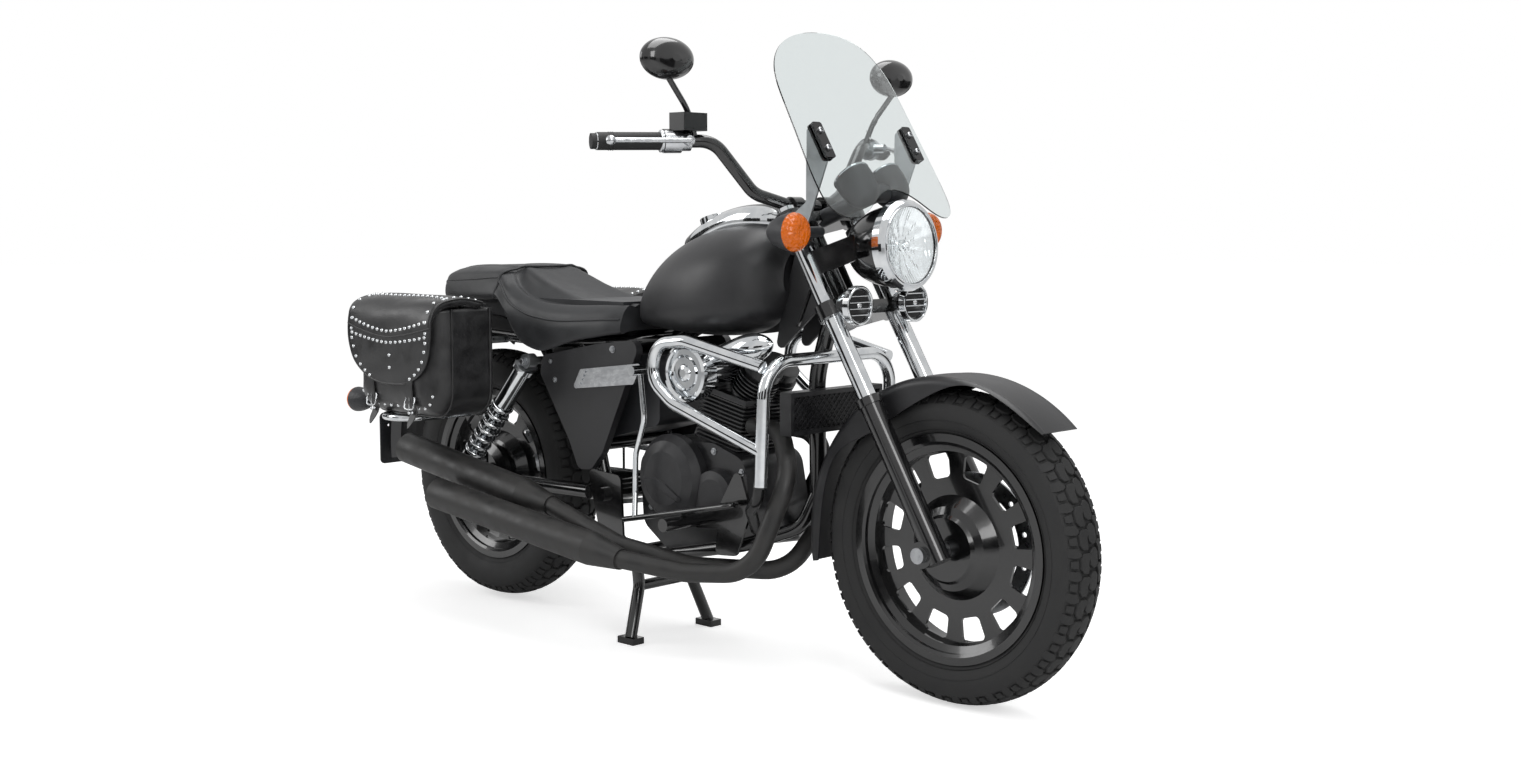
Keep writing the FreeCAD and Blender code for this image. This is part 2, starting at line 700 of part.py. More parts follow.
def front_fender():
    outer = front_tyre_radius + fender_gap + fender_thickness
    half = fender_half_width
    edge = outer - fender_skirt_depth
    wall = fender_thickness
    side = half - fender_shoulder
    outside = [V(edge, -half, 0), V(outer - fender_shoulder, -half, 0)]
    inside = [V(edge, half - wall, 0), V(outer - fender_shoulder, half - wall, 0)]
    edges = [
        Part.LineSegment(outside[0], outside[1]).toShape(),
        Part.Arc(outside[1], V(outer - fender_shoulder * 0.3, -half + fender_shoulder * 0.3, 0),
                 V(outer - wall / 2, -side, 0)).toShape(),
        Part.Arc(V(outer - wall / 2, -side, 0), V(outer, 0, 0), V(outer - wall / 2, side, 0)).toShape(),
        Part.Arc(V(outer - wall / 2, side, 0), V(outer - fender_shoulder * 0.3, half - fender_shoulder * 0.3, 0),
                 V(outer - fender_shoulder, half, 0)).toShape(),
        Part.LineSegment(V(outer - fender_shoulder, half, 0), V(edge, half, 0)).toShape(),
        Part.LineSegment(V(edge, half, 0), inside[0]).toShape(),
        Part.LineSegment(inside[0], inside[1]).toShape(),
        Part.Arc(inside[1], V(outer - wall - fender_shoulder * 0.3, half - wall - fender_shoulder * 0.3, 0),
                 V(outer - wall * 1.5, side - wall, 0)).toShape(),
        Part.Arc(V(outer - wall * 1.5, side - wall, 0), V(outer - wall, 0, 0),
                 V(outer - wall * 1.5, -side + wall, 0)).toShape(),
        Part.Arc(V(outer - wall * 1.5, -side + wall, 0),
                 V(outer - wall - fender_shoulder * 0.3, -half + wall + fender_shoulder * 0.3, 0),
                 V(outer - fender_shoulder, -half + wall, 0)).toShape(),
        Part.LineSegment(V(outer - fender_shoulder, -half + wall, 0), V(edge, -half + wall, 0)).toShape(),
        Part.LineSegment(V(edge, -half + wall, 0), outside[0]).toShape(),
    ]
    section = Part.Face(Part.Wire(edges))
    section.rotate(V(0, 0, 0), V(0, 1, 0), -fender_front_angle)
    shell = section.revolve(V(0, 0, 0), V(0, -1, 0), fender_rear_angle - fender_front_angle)
    shell.translate(front_axle)
    sweep = fender_rear_angle - fender_front_angle
    rim = []
    for along, rise in fender_edge_shares:
        rim.append(polar(front_axle, fender_front_angle + sweep * along, edge + fender_skirt_depth * rise, -half - overrun))
    curve = Part.BSplineCurve()
    curve.interpolate(rim)
    far = outer * 1.2
    back = polar(front_axle, fender_rear_angle, far, -half - overrun)
    crown = polar(front_axle, (fender_rear_angle + fender_front_angle) / 2, far * 1.2, -half - overrun)
    front = polar(front_axle, fender_front_angle, far, -half - overrun)
    keep_edges = [curve.toShape(), Part.LineSegment(rim[-1], back).toShape(), Part.Arc(back, crown, front).toShape(),
                  Part.LineSegment(front, rim[0]).toShape()]
    keep = Part.Face(Part.Wire(keep_edges)).extrude(V(0, 2 * half + 2 * overrun, 0))
    shell = shell.common(keep)
    stays = []
    reach = fork_spread / 2 - slider_radius
    for t in (outer - fender_skirt_depth * 0.5, outer - fender_skirt_depth * 0.8):
        for sign in (-1, 1):
            stays.append(rod(fork_point(leg_lead, sign * (half - wall), t),
                             fork_point(leg_lead, sign * (reach + overrun / 2), t), bar_radius / 2))
    return fuse([shell] + stays)


def handlebar():
    points = []
    for x, y, z in bar_route_shares:
        points.append(place(x, -y * bar_reach, z))
    right = points[1:]
    left = [V(point.x, -point.y, point.z) for point in right]
    route = list(reversed(left)) + right
    bar = bent_tube(route, bar_radius, bar_bend)
    risers = []
    for sign in (-1, 1):
        top = place(bar_route_shares[0][0], sign * riser_spread / 2, bar_route_shares[0][2])
        foot = fork_point(0, sign * riser_spread / 2, upper_yoke_mid + upper_yoke_thickness / 2)
        foot.x = top.x + (top.z - foot.z) * math.sin(tilt)
        riser = rod(foot, top, riser_radius)
        clamp = across(top.x, top.z, top.y - riser_radius * 0.85, top.y + riser_radius * 0.85, bar_radius + rim_wall)
        risers.append(fuse([riser, clamp]))
    return bar, risers


def grip_line(side=-1):
    inner = place(bar_route_shares[-2][0], side * bar_route_shares[-2][1] * bar_reach, bar_route_shares[-2][2])
    outer = place(bar_route_shares[-1][0], side * bar_route_shares[-1][1] * bar_reach, bar_route_shares[-1][2])
    span = outer.sub(inner)
    span.normalize()
    return outer, span


def grips():
    outer, span = grip_line()
    inner = outer.sub(span * grip_length)
    sleeve = rod(inner, outer, grip_radius).cut(rod(inner.sub(span * overrun), outer.add(span * overrun), bar_radius))
    cap = rod(outer, outer.add(span * bar_end_length), bar_end_radius)
    return pair(fuse([sleeve, cap]))


# Drawn with the bar's end at the origin, the bar along X and the lever towards Y
def control():
    bore = rod(V(0, 0, 0), V(-grip_length - bar_reach / 2, 0, 0), bar_radius + slip)
    start = V(-grip_length - gap, 0, 0)
    perch_start = start.sub(V(switch_length, 0, 0))
    switch = rod(start, perch_start, switch_radius)
    perch = rod(perch_start, perch_start.sub(V(perch_length / 2, 0, 0)), perch_radius)
    root = perch_start.sub(V(perch_length / 4, 0, 0))
    pivot = root.add(V(0, perch_radius * 2, 0))
    horn = rod(root, pivot, perch_radius / 2)
    tip = V(-grip_length / 8, perch_radius * 2.4, 0)
    lever = rod(pivot, tip, lever_radius)
    ball = Part.makeSphere(lever_ball_radius, tip)
    return fuse([switch, perch, horn, lever, ball]).cut(bore)


def on_grip(shape, side):
    outer, span = grip_line(side)
    ahead = V(0, 0, -side).cross(span)
    ahead.normalize()
    placed = shape.copy()
    placed.Placement = FreeCAD.Placement(outer, FreeCAD.Rotation(span, ahead, span.cross(ahead), "XYZ"))
    return placed


def reservoir():
    outer, span = grip_line()
    mid = outer.sub(span * (grip_length + switch_length + perch_length / 4))
    low = mid.add(V(-reservoir_width / 4, -reservoir_length / 2, perch_radius))
    tank = block(low, low.add(V(reservoir_width, reservoir_length, reservoir_height)))
    return tank


def mirrors():
    outer, span = grip_line()
    base = outer.sub(span * (grip_length + switch_length + perch_length * 0.8))
    head = place(mirror_x_share, -mirror_spread, mirror_z_share)
    top = head.sub(V(0, 0, mirror_height / 2 - overrun))
    mid = base.add(top.sub(base) * 0.5).add(V(0, stem_bar_width, 0))
    stem = bent_tube([base.add(V(0, 0, bar_radius * 0.4)), mid, top], stem_bar_thickness / 1.6, bar_bend * 2)
    wires = []
    for along, size in ((-0.35, 0.97), (0.0, 1.0), (0.35, 0.86), (0.60, 0.52), (0.68, 0.16)):
        oval = Part.Ellipse(V(0, 0, 0), mirror_width / 2 * size, mirror_height / 2 * size).toShape()
        oval.rotate(V(0, 0, 0), V(1, 1, 1), 120)
        oval.translate(head.add(V(mirror_depth * along, 0, 0)))
        wires.append(Part.Wire(oval))
    shell = loft(wires)
    return pair(fuse([stem.cut(bar_solid), shell]))


def headlamp():
    centre = place(headlamp_x_share, 0, headlamp_z_share)
    face = V(math.cos(math.radians(headlamp_pitch)), 0, math.sin(math.radians(headlamp_pitch)))
    ring = headlamp_ring_depth
    bowl = dome([(-headlamp_depth, 0), (-headlamp_depth * 0.93, headlamp_bowl_radius * 0.6),
                 (-headlamp_depth * 0.55, headlamp_bowl_radius * 0.95), (-ring, headlamp_bowl_radius)],
                centre, face)
    bezel = turned([(-ring, headlamp_bowl_radius), (-ring, headlamp_radius), (-ring * 0.4, headlamp_radius),
                    (-ring * 0.2, headlamp_radius * 0.97), (0, headlamp_radius * 0.93),
                    (0, headlamp_lens_radius), (-ring, headlamp_lens_radius)], centre, face)
    lens = dome([(-ring * 0.5, headlamp_lens_radius), (0, headlamp_lens_radius),
                 (headlamp_lens_bulge, 0)], centre, face)
    arms = []
    for sign in (-1, 1):
        foot = fork_point(leg_lead, sign * fork_spread / 2, (lower_yoke_mid + upper_yoke_mid) / 2)
        tip = centre.sub(face * (headlamp_depth * 0.45))
        tip = tip.add(V(0, sign * (headlamp_bowl_radius + flange_thickness / 2), 0))
        points = [V(foot.x, foot.y - sign * flange_thickness / 2, foot.z - lug_radius),
                  V(tip.x, foot.y - sign * flange_thickness / 2, tip.z - lug_radius),
                  V(tip.x, foot.y - sign * flange_thickness / 2, tip.z + lug_radius),
                  V(foot.x, foot.y - sign * flange_thickness / 2, foot.z + lug_radius)]
        arms.append(slab(points, flange_thickness, V(0, sign * flange_thickness, 0)))
        arms.append(rod(V(tip.x, sign * headlamp_bowl_radius * 0.8, tip.z), V(tip.x, foot.y, tip.z), riser_radius / 2))
    return bowl, bezel, lens, arms


def indicator_at(centre, radius, depth):
    lens_depth = indicator_lens_depth * radius / indicator_radius
    body = dome([(-depth, 0), (-depth * 0.9, radius * 0.45), (-depth * 0.5, radius * 0.86),
                 (-lens_depth, radius * 0.99), (-lens_depth * 0.6, radius)], centre, V(1, 0, 0))
    lens = dome([(-lens_depth * 0.6, radius), (-lens_depth * 0.1, radius * 0.93), (lens_depth * 0.4, 0)],
                centre, V(1, 0, 0))
    return body, lens


def front_indicators():
    centre = place(indicator_x_share, -indicator_spread, indicator_z_share)
    body, lens = indicator_at(centre, indicator_radius, indicator_depth)
    foot = centre.sub(V(indicator_depth / 2, 0, 0))
    leg = fork_point(leg_lead, -fork_spread / 2, upper_yoke_mid - upper_yoke_thickness)
    stalk = rod(V(foot.x, leg.y, foot.z), foot, indicator_stalk_radius)
    clamp = in_fork(Part.makeCylinder(yoke_clamp_radius - gap, upper_yoke_thickness * 2,
                                      V(leg_lead, -fork_spread / 2, upper_yoke_mid - upper_yoke_thickness * 3)))
    arm = rod(V(leg.x, leg.y, foot.z - indicator_stalk_radius), V(foot.x, leg.y, foot.z), indicator_stalk_radius)
    return fuse([body, stalk, clamp, arm]), lens


def horns():
    centre = place(horn_x_share, -horn_spread, horn_z_share)
    shell = turned([(-horn_depth, 0), (-horn_depth, horn_radius * 0.55), (-horn_depth * 0.5, horn_radius * 0.9),
                    (-horn_depth * 0.3, horn_radius), (0, horn_radius), (0, horn_radius * 0.86),
                    (-rim_wall, horn_radius * 0.8), (-rim_wall, 0)], centre, V(1, 0, 0))
    back = centre.sub(V(horn_depth, 0, 0))
    yoke_front = fork_point(leg_lead, -horn_spread, lower_yoke_mid)
    return shell, rod(V(yoke_front.x, back.y, yoke_front.z), back.add(V(overrun, 0, 0)), indicator_stalk_radius)


def gauges():
    aim = V(-math.cos(math.radians(gauge_tilt)), 0, math.sin(math.radians(gauge_tilt)))
    cups = []
    for sign in (-1, 1):
        face = place(gauge_x_share, sign * gauge_spread, gauge_z_share)
        cups.append(dome([(-gauge_depth, 0), (-gauge_depth * 0.85, gauge_radius * 0.7),
                          (-gauge_depth * 0.3, gauge_radius), (0, gauge_radius)], face, aim))
    middle = place(gauge_x_share, 0, gauge_z_share).sub(aim * (gauge_depth * 0.6))
    bridge = across(middle.x, middle.z, -gauge_spread, gauge_spread, gauge_radius * 0.5)
    foot = fork_point(leg_lead, 0, upper_yoke_mid)
    stay = rod(foot, middle, riser_radius)
    return fuse(cups + [bridge, stay])


def screen_n(y):
    return screen_lead - screen_radius + math.sqrt(screen_radius ** 2 - y ** 2)


def windscreen():
    axis_n = screen_lead - screen_radius
    low = V(axis_n, 0, screen_low - overrun)
    outer = Part.makeCylinder(screen_radius, screen_height + 2 * overrun, low)
    inner = Part.makeCylinder(screen_radius - screen_thickness, screen_height + 4 * overrun,
                              V(axis_n, 0, screen_low - 2 * overrun))
    half_points = [(y * screen_half_width, screen_low + screen_height * t) for y, t in screen_outline_shares]
    right = [V(0, -y, t) for y, t in half_points]
    left = [V(0, y, t) for y, t in reversed(half_points[1:-1])]
    curve = Part.BSplineCurve()
    curve.interpolate(right + left, True)
    keep = Part.Face(Part.Wire(curve.toShape())).extrude(V(screen_lead + overrun, 0, 0))
    return in_fork(outer.cut(inner).common(keep))


def screen_mounts():
    plates = []
    arms = []
    y = screen_plate_spread
    lead = screen_n(y)
    low = screen_plate_mid - screen_plate_height / 2
    half = screen_plate_width / 2
    for start, depth in ((lead + gap, screen_plate_thickness), (lead - screen_thickness - screen_plate_thickness - 2 * gap,
                                                               screen_plate_thickness)):
        points = [V(start, -y - half, low), V(start, -y + half, low), V(start, -y + half, low + screen_plate_height),
                  V(start, -y - half, low + screen_plate_height)]
        plates.append(in_fork(slab(points, flange_thickness, V(depth, 0, 0))))
    back = lead - screen_thickness - screen_plate_thickness - 2 * gap
    high = low + screen_plate_height
    mid = upper_yoke_mid - lower_yoke_thickness
    shares = [(leg_lead, mid - half), (leg_lead + back * 0.35, mid - half * 1.6), (back, low), (back, high),
              (back - half, high), (back * 0.55, mid + half * 1.4), (leg_lead, mid + half)]
    points = [V(n, -y, t) for n, t in shares]
    arms.append(in_fork(slab(points, flange_thickness, V(0, screen_arm_thickness, 0))))
    clamp_points = [V(leg_lead, -y + screen_arm_thickness, mid - half), V(leg_lead, -fork_spread / 2, mid - half),
                    V(leg_lead, -fork_spread / 2, mid + half), V(leg_lead, -y + screen_arm_thickness, mid + half)]
    arms.append(in_fork(slab(clamp_points, 0, V(stanchion_radius + screen_arm_thickness, 0, 0))))
    arm = fuse(arms).cut(in_fork(Part.makeCylinder(stanchion_radius, upper_yoke_mid * 2,
                                                   V(leg_lead, -fork_spread / 2, 0))))
    return plates, arm


# Frame body
def head_tube():
    low = lower_yoke_mid + lower_yoke_thickness / 2 + head_tube_gap
    high = upper_yoke_mid - upper_yoke_thickness / 2 - head_tube_gap
    outer = Part.makeCylinder(head_tube_radius, high - low, V(steer_n, 0, low))
    return in_fork(outer)


def stem_hole():
    low = lower_yoke_mid - lower_yoke_thickness
    return in_fork(Part.makeCylinder(stem_radius + slip, upper_yoke_mid - low + upper_yoke_thickness * 2,
                                     V(steer_n, 0, low)))


def yoke_room():
    low = lower_yoke_mid - lower_yoke_thickness
    high = lower_yoke_mid + lower_yoke_thickness / 2 + head_tube_gap
    return in_fork(Part.makeCylinder(head_tube_radius + head_tube_gap * 2, high - low, V(steer_n, 0, low)))


def frame_tubes():
    head_mid = fork_point(steer_n, 0, (lower_yoke_mid + upper_yoke_mid) / 2)
    head_low = fork_point(steer_n, 0, lower_yoke_mid + lower_yoke_thickness * 1.8)
    spine_route = [head_mid] + [place(x, 0, z) for x, z in spine_shares[1:]]
    spine = bent_tube(spine_route, main_tube_radius * 1.1, tube_bend * 3)
    down_route = [head_low] + [place(x, 0, z) for x, z in downtube_shares]
    down = bent_tube(down_route, main_tube_radius, tube_bend * 3)
    tubes = [head_tube(), spine, down]
    for sign in (-1, 1):
        route = [place(x, sign * y * rail_half_gap, z) for x, y, z in cradle_shares]
        tubes.append(bent_tube(route, rail_radius, tube_bend))
        route = [place(x, sign * y * seat_rail_half_gap, z) for x, y, z in seat_rail_shares]
        tubes.append(bent_tube(route, rear_tube_radius, tube_bend))
        route = [place(x, sign * seat_rail_half_gap, z) for x, z in seat_strut_shares]
        tubes.append(rod(route[0], route[1], rear_tube_radius))
    for x, y, z in (cradle_shares[3], cradle_shares[5], seat_rail_shares[2], seat_rail_shares[4]):
        width = rail_half_gap if z < seat_rail_shares[0][2] * 0.7 else seat_rail_half_gap
        tubes.append(across(x * body_length, z * body_height, -width, width, rear_tube_radius))
    whole = fuse(tubes)
    return whole.cut(stem_hole()).cut(yoke_room())


def swingarm():
    pivot = place(pivot_x_share, 0, pivot_z_share)
    cross_x = cross_tube_x_share * body_length
    cross_z = rear_axle.z + (pivot.z - rear_axle.z) * cross_x / pivot.x
    half = swingarm_half_gap
    arms = [across(pivot.x, pivot.z, -pivot_half_gap, pivot_half_gap, swingarm_radius),
            across(cross_x, cross_z, -half - swingarm_radius / 2, half + swingarm_radius / 2, swingarm_radius)]
    foot = place(shock_foot_shares[0], 0, shock_foot_shares[1])
    for sign in (-1, 1):
        arms.append(rod(V(pivot.x, sign * pivot_arm_half_gap, pivot.z), V(cross_x, sign * pivot_arm_half_gap, cross_z),
                        swingarm_radius * 0.9))
        arms.append(rod(V(cross_x, sign * half, cross_z), V(rear_axle.x, sign * half, rear_axle.z), swingarm_radius))
        arms.append(across(rear_axle.x, rear_axle.z, sign * half - swingarm_radius, sign * half + swingarm_radius,
                           lug_radius))
        near = sign * half - shock_lug_thickness / 2
        arms.append(block(V(foot.x - lug_radius * 0.7, near, rear_axle.z),
                          V(foot.x + lug_radius * 0.7, near + shock_lug_thickness, foot.z + swingarm_radius)))
    body = fuse(arms)
    body = body.cut(across(pivot.x, pivot.z, -half * 2, half * 2, pivot_radius + slip))
    return body.cut(across(rear_axle.x, rear_axle.z, -half * 2, half * 2, axle_radius + slip))


def pivot_plates():
    pivot = place(pivot_x_share, 0, pivot_z_share)
    low = rail_half_gap + rail_radius
    high = low + pivot_plate_thickness
    shares = ((pivot_x_share - 0.055, pivot_z_share + 0.052), (pivot_x_share + 0.052, pivot_z_share + 0.045),
              (pivot_x_share + 0.060, pivot_z_share - 0.110), (pivot_x_share - 0.010, pivot_z_share - 0.110))
    plate = side_plate(shares, rail_radius, low, high)
    plate = fuse([plate, across(pivot.x, pivot.z, high, high + axle_nut_length, axle_nut_radius)])
    bolt = across(pivot.x, pivot.z, -high, high, pivot_radius)
    return fuse([plate, mirrored(plate), bolt])


def rear_axle_bar():
    half = swingarm_half_gap + swingarm_radius
    bar = across(rear_axle.x, rear_axle.z, -half, half, axle_radius)
    nuts = [across(rear_axle.x, rear_axle.z, half, half + axle_nut_length, axle_nut_radius),
            across(rear_axle.x, rear_axle.z, -half - axle_nut_length, -half, axle_nut_radius)]
    left = across(rear_axle.x, rear_axle.z, chain_line + sprocket_thickness / 2 + gap,
                  swingarm_half_gap - swingarm_radius, axle_nut_radius)
    return fuse([bar, left] + nuts)


def rear_brake():
    near = -hub_half_length - gap
    plate = turned([(0, 0), (0, drum_radius), (drum_depth * 0.6, drum_radius), (drum_depth, drum_radius * 0.7),
                    (drum_depth, 0)], V(rear_axle.x, near, rear_axle.z), V(0, -1, 0))
    arm = slab([V(rear_axle.x, near - drum_depth, rear_axle.z - lug_radius),
                V(rear_axle.x + lug_radius * 5, near - drum_depth, rear_axle.z - lug_radius * 1.6),
                V(rear_axle.x + lug_radius * 5, near - drum_depth, rear_axle.z - lug_radius * 2.2),
                V(rear_axle.x, near - drum_depth, rear_axle.z - drum_radius * 0.65)], rim_wall / 2,
               V(0, rim_wall, 0))
    bore = across(rear_axle.x, rear_axle.z, near - drum_depth - overrun, near + overrun, axle_radius + slip)
    reach = across(rear_axle.x, rear_axle.z, -swingarm_half_gap + swingarm_radius, near - drum_depth, axle_nut_radius)
    return fuse([plate, arm, reach]).cut(bore)


def shock():
    top = place(shock_top_shares[0], -shock_half_gap, shock_top_shares[1])
    foot = place(shock_foot_shares[0], -shock_half_gap, shock_foot_shares[1])
    axis = foot.sub(top)
    length = axis.Length
    axis.normalize()
    eye = shock_radius * 0.62
    body = [across(top.x, top.z, top.y - eye * 0.7, top.y + eye * 0.7, eye),
            across(foot.x, foot.z, foot.y - eye * 0.7, foot.y + eye * 0.7, eye)]
    start = eye * 0.8
    cap = eye * 1.6
    body.append(rod(top.add(axis * start), top.add(axis * cap), shock_radius))
    body.append(rod(top.add(axis * cap), top.add(axis * (length * 0.42)), shock_radius * 0.78))
    body.append(rod(top.add(axis * (length * 0.42)), foot, shock_rod_radius * 1.3))
    body.append(rod(foot.sub(axis * cap), foot.sub(axis * start), shock_radius * 0.9))
    coil_start = length * 0.40
    coil_end = length - cap
    pitch = (coil_end - coil_start) / shock_coils
    for number in range(shock_coils):
        centre = top.add(axis * (coil_start + pitch * (number + 0.5)))
        body.append(Part.makeTorus(shock_radius - shock_coil_radius, shock_coil_radius, centre, axis))
        body.append(rod(centre, centre.add(axis * (pitch * 0.3)), shock_radius - shock_coil_radius))
    damper = fuse(body)
    top_bolt = across(top.x, top.z, -shock_half_gap - eye, -seat_rail_half_gap, shock_rod_radius)
    foot_bolt = across(foot.x, foot.z, -shock_half_gap - eye, -swingarm_half_gap, shock_rod_radius)
    return fuse([damper, top_bolt, foot_bolt])


def tank():
    base = tank_base_share * body_height
    wires = []
    for x, width, low, high in tank_stations:
        wires.append(oval_section(x * body_length, tank_half_width * width, base + low * body_height,
                                  base + high * tank_height, 0.95, 0.62, 0.36))
    body = loft(wires)
    low = tank_stations[0][0] * body_length - overrun
    high = wheelbase
    half = main_tube_radius * 2
    tunnel = block(V(low, -half, 0), V(high, half, base + main_tube_radius * 2.6))
    head_mid = fork_point(steer_n, 0, (lower_yoke_mid + upper_yoke_mid) / 2)
    neck = in_fork(Part.makeCylinder(half * 1.15, upper_yoke_mid, V(steer_n, 0, lower_yoke_mid)))
    spine_cut = bent_tube([head_mid] + [place(x, 0, z) for x, z in spine_shares[1:]],
                          main_tube_radius * 1.1 + gap, tube_bend * 3)
    body = body.cut(fuse([tunnel, neck])).cut(spine_cut)
    leg = in_fork(Part.makeCylinder(yoke_clamp_radius + flange_thickness * 1.6, slider_top * 2,
                                    V(leg_lead, -fork_spread / 2, lower_yoke_mid - slider_low)))
    foot = fork_point(steer_n, 0, 0)
    turned_leg = leg.copy()
    turned_leg.rotate(foot, fork_up, -steer_lock)
    return body.cut(turned_leg).cut(mirrored(turned_leg))


def console():
    wires = []
    for share, width, rise in ((0.20, 0.42, 0.55), (0.42, 0.80, 0.85), (0.68, 1.00, 1.00), (0.86, 0.92, 1.05),
                               (0.985, 0.45, 0.80)):
        first = tank_stations[0][0] * body_length
        last = tank_stations[-2][0] * body_length
        x = first + (last - first) * share
        base = (tank_base_share + 0.13 + 0.10 * math.sin(math.pi / 2 * min(1, share * 1.35))) * body_height
        wires.append(oval_section(x, console_half_width * width, base - console_height,
                                  base + console_height * (0.4 + rise * 0.55), 0.9, 0.6, 0.5))
    return loft(wires)


def filler():
    x = 0.737 * body_length
    return Part.makeCylinder(filler_radius, filler_height * 3, V(x, 0, 0.906 * body_height - filler_height * 2.2),
                             V(-0.30, 0, 1))


def seat():
    wires = []
    for x, width, low, high in seat_stations:
        wires.append(oval_section(x * body_length, seat_half_width * width, low * body_height, high * body_height,
                                  0.70, 0.40, 0.30))
    return loft(wires)


def neck_cover():
    shares = ((0.925, 0.634), (1.076, 0.764), (1.018, 0.862), (0.985, 0.852), (0.950, 0.745))
    low = head_tube_radius * 1.3
    plate = side_plate(shares, rim_wall * 2, -low - rim_wall, -low)
    slot = side_plate(((0.985, 0.700), (0.995, 0.700), (1.030, 0.775), (1.020, 0.775)), 0, -low - rim_wall - overrun,
                      -low + overrun)
    boss = across(0.975 * body_length, 0.800 * body_height, -low, -main_tube_radius, rim_wall)
    return fuse([plate.cut(slot), boss])


def side_cover():
    low = seat_rail_half_gap + rear_tube_radius + gap
    return side_plate(side_cover_shares, tube_bend / 3, -low - rim_wall * 3, -low)


def vent_plate():
    low = seat_rail_half_gap + rear_tube_radius + gap + rim_wall * 3
    plate = side_plate(vent_low_shares + vent_high_shares[::-1], rim_wall, -low - rim_wall, -low)
    front = [(1 - vent_margin_share) * far + vent_margin_share * near
             for near, far in zip(vent_low_shares[0], vent_low_shares[1])]
    back = [(1 - vent_margin_share) * near + vent_margin_share * far
            for near, far in zip(vent_low_shares[0], vent_low_shares[1])]
    rise = [high - foot for high, foot in zip(vent_high_shares[0], vent_low_shares[0])]
    grooves = []
    for number in range(vent_grooves):
        start = (number + 1) / (vent_grooves + 1)
        end = start + vent_margin_share
        corners = [(x + rise[0] * share, z + rise[1] * share)
                   for (x, z), share in ((back, start), (front, start), (front, end), (back, end))]
        grooves.append(side_plate(corners, 0, -low - rim_wall - overrun, -low - rim_wall / 2))
    return plate.cut(Part.makeCompound(grooves))


def rear_fender():
    centre = V(0, 0, rear_axle.z + rear_fender_rise)
    outer = rear_fender_radius
    half = rear_fender_half_width
    wall = fender_thickness
    edge = outer - fender_skirt_depth
    points = [V(edge, -half, 0), V(outer - fender_shoulder, -half, 0), V(outer - fender_thickness, -half * 0.78, 0),
              V(outer, 0, 0), V(outer - fender_thickness, half * 0.78, 0), V(outer - fender_shoulder, half, 0),
              V(edge, half, 0), V(edge, half - wall, 0), V(outer - fender_shoulder - wall, half - wall, 0),
              V(outer - fender_thickness - wall, half * 0.74, 0), V(outer - wall, 0, 0),
              V(outer - fender_thickness - wall, -half * 0.74, 0),
              V(outer - fender_shoulder - wall, -half + wall, 0), V(edge, -half + wall, 0)]
    section = Part.Face(Part.makePolygon(points + [points[0]]))
    section.rotate(V(0, 0, 0), V(0, 1, 0), -rear_fender_front_angle)
    shell = section.revolve(V(0, 0, 0), V(0, -1, 0), rear_fender_rear_angle - rear_fender_front_angle)
    shell.translate(centre)
    return shell


def fender_fill():
    centre_z = rear_axle.z + rear_fender_rise
    return across(0, centre_z, -rear_fender_half_width, rear_fender_half_width, rear_fender_radius)


def fender_point(angle, y):
    centre = V(0, 0, rear_axle.z + rear_fender_rise)
    return polar(centre, angle, rear_fender_radius, y)


def tail_lamp():
    foot = fender_point(154, 0)
    low = foot.add(V(-tail_lamp_depth - rim_wall * 2, -tail_lamp_width / 2, -tail_lamp_height / 2))
    corners = [V(low.x, low.y, low.z), V(low.x, low.y + tail_lamp_width, low.z),
               V(low.x, low.y + tail_lamp_width, low.z + tail_lamp_height), V(low.x, low.y, low.z + tail_lamp_height)]
    return slab(corners, tail_lamp_height / 3, V(tail_lamp_depth + lug_radius * 1.6, 0, 0))


def plate_holder():
    foot = fender_point(176, 0)
    x = foot.x - lug_radius * 1.4
    top = foot.z + plate_holder_height * 0.35
    half = plate_holder_width / 2
    corners = [V(x, -half, top), V(x, half, top), V(x, half, top - plate_holder_height),
               V(x, -half, top - plate_holder_height)]
    plate = slab(corners, rim_wall * 2, V(plate_holder_thickness, 0, 0))
    hole_z = top - plate_holder_height * 0.25
    for y in (-plate_hole_spacing / 2, plate_hole_spacing / 2):
        plate = plate.cut(rod(V(x - overrun, y, hole_z), V(x + overrun * 3, y, hole_z), plate_hole_radius))
    stay = block(V(x + plate_holder_thickness, -lug_radius, foot.z - lug_radius / 2),
                 V(foot.x + fender_thickness, lug_radius, foot.z + lug_radius / 2))
    return fuse([plate, stay])


def rear_indicators():
    centre = place(rear_indicator_x_share, -rear_indicator_spread, rear_indicator_z_share)
    body, lens = indicator_at(V(0, 0, 0), rear_indicator_radius, indicator_depth * 0.85)
    shape = fuse([body, lens])
    shape.rotate(V(0, 0, 0), V(0, 0, 1), 180)
    shape.translate(centre)
    middle = centre.add(V(indicator_depth * 0.4, 0, 0))
    stalk = rod(V(middle.x, -rear_fender_half_width + fender_thickness, middle.z), middle, indicator_stalk_radius)
    return fuse([shape, stalk])


def bag_box(front, rear, floor, rim, inner, outer, corner):
    points = [V(rear, -outer, floor), V(front, -outer, floor), V(front, -inner, floor), V(rear, -inner, floor)]
    return slab(points, corner, V(0, 0, rim - floor))


def bag_sizes():
    front = bag_front_share * body_length
    rear = bag_rear_share * body_length
    floor = bag_floor_share * body_height
    rim = bag_rim_share * body_height
    return front, rear, floor, rim


def bag():
    front, rear, floor, rim = bag_sizes()
    wall = bag_wall
    outside = bag_box(front, rear, floor, rim, bag_inner, bag_outer, bag_corner)
    inside = bag_box(front - wall, rear + wall, floor + wall, rim + overrun, bag_inner + wall, bag_outer - wall,
                     bag_corner - wall)
    return outside.cut(inside)


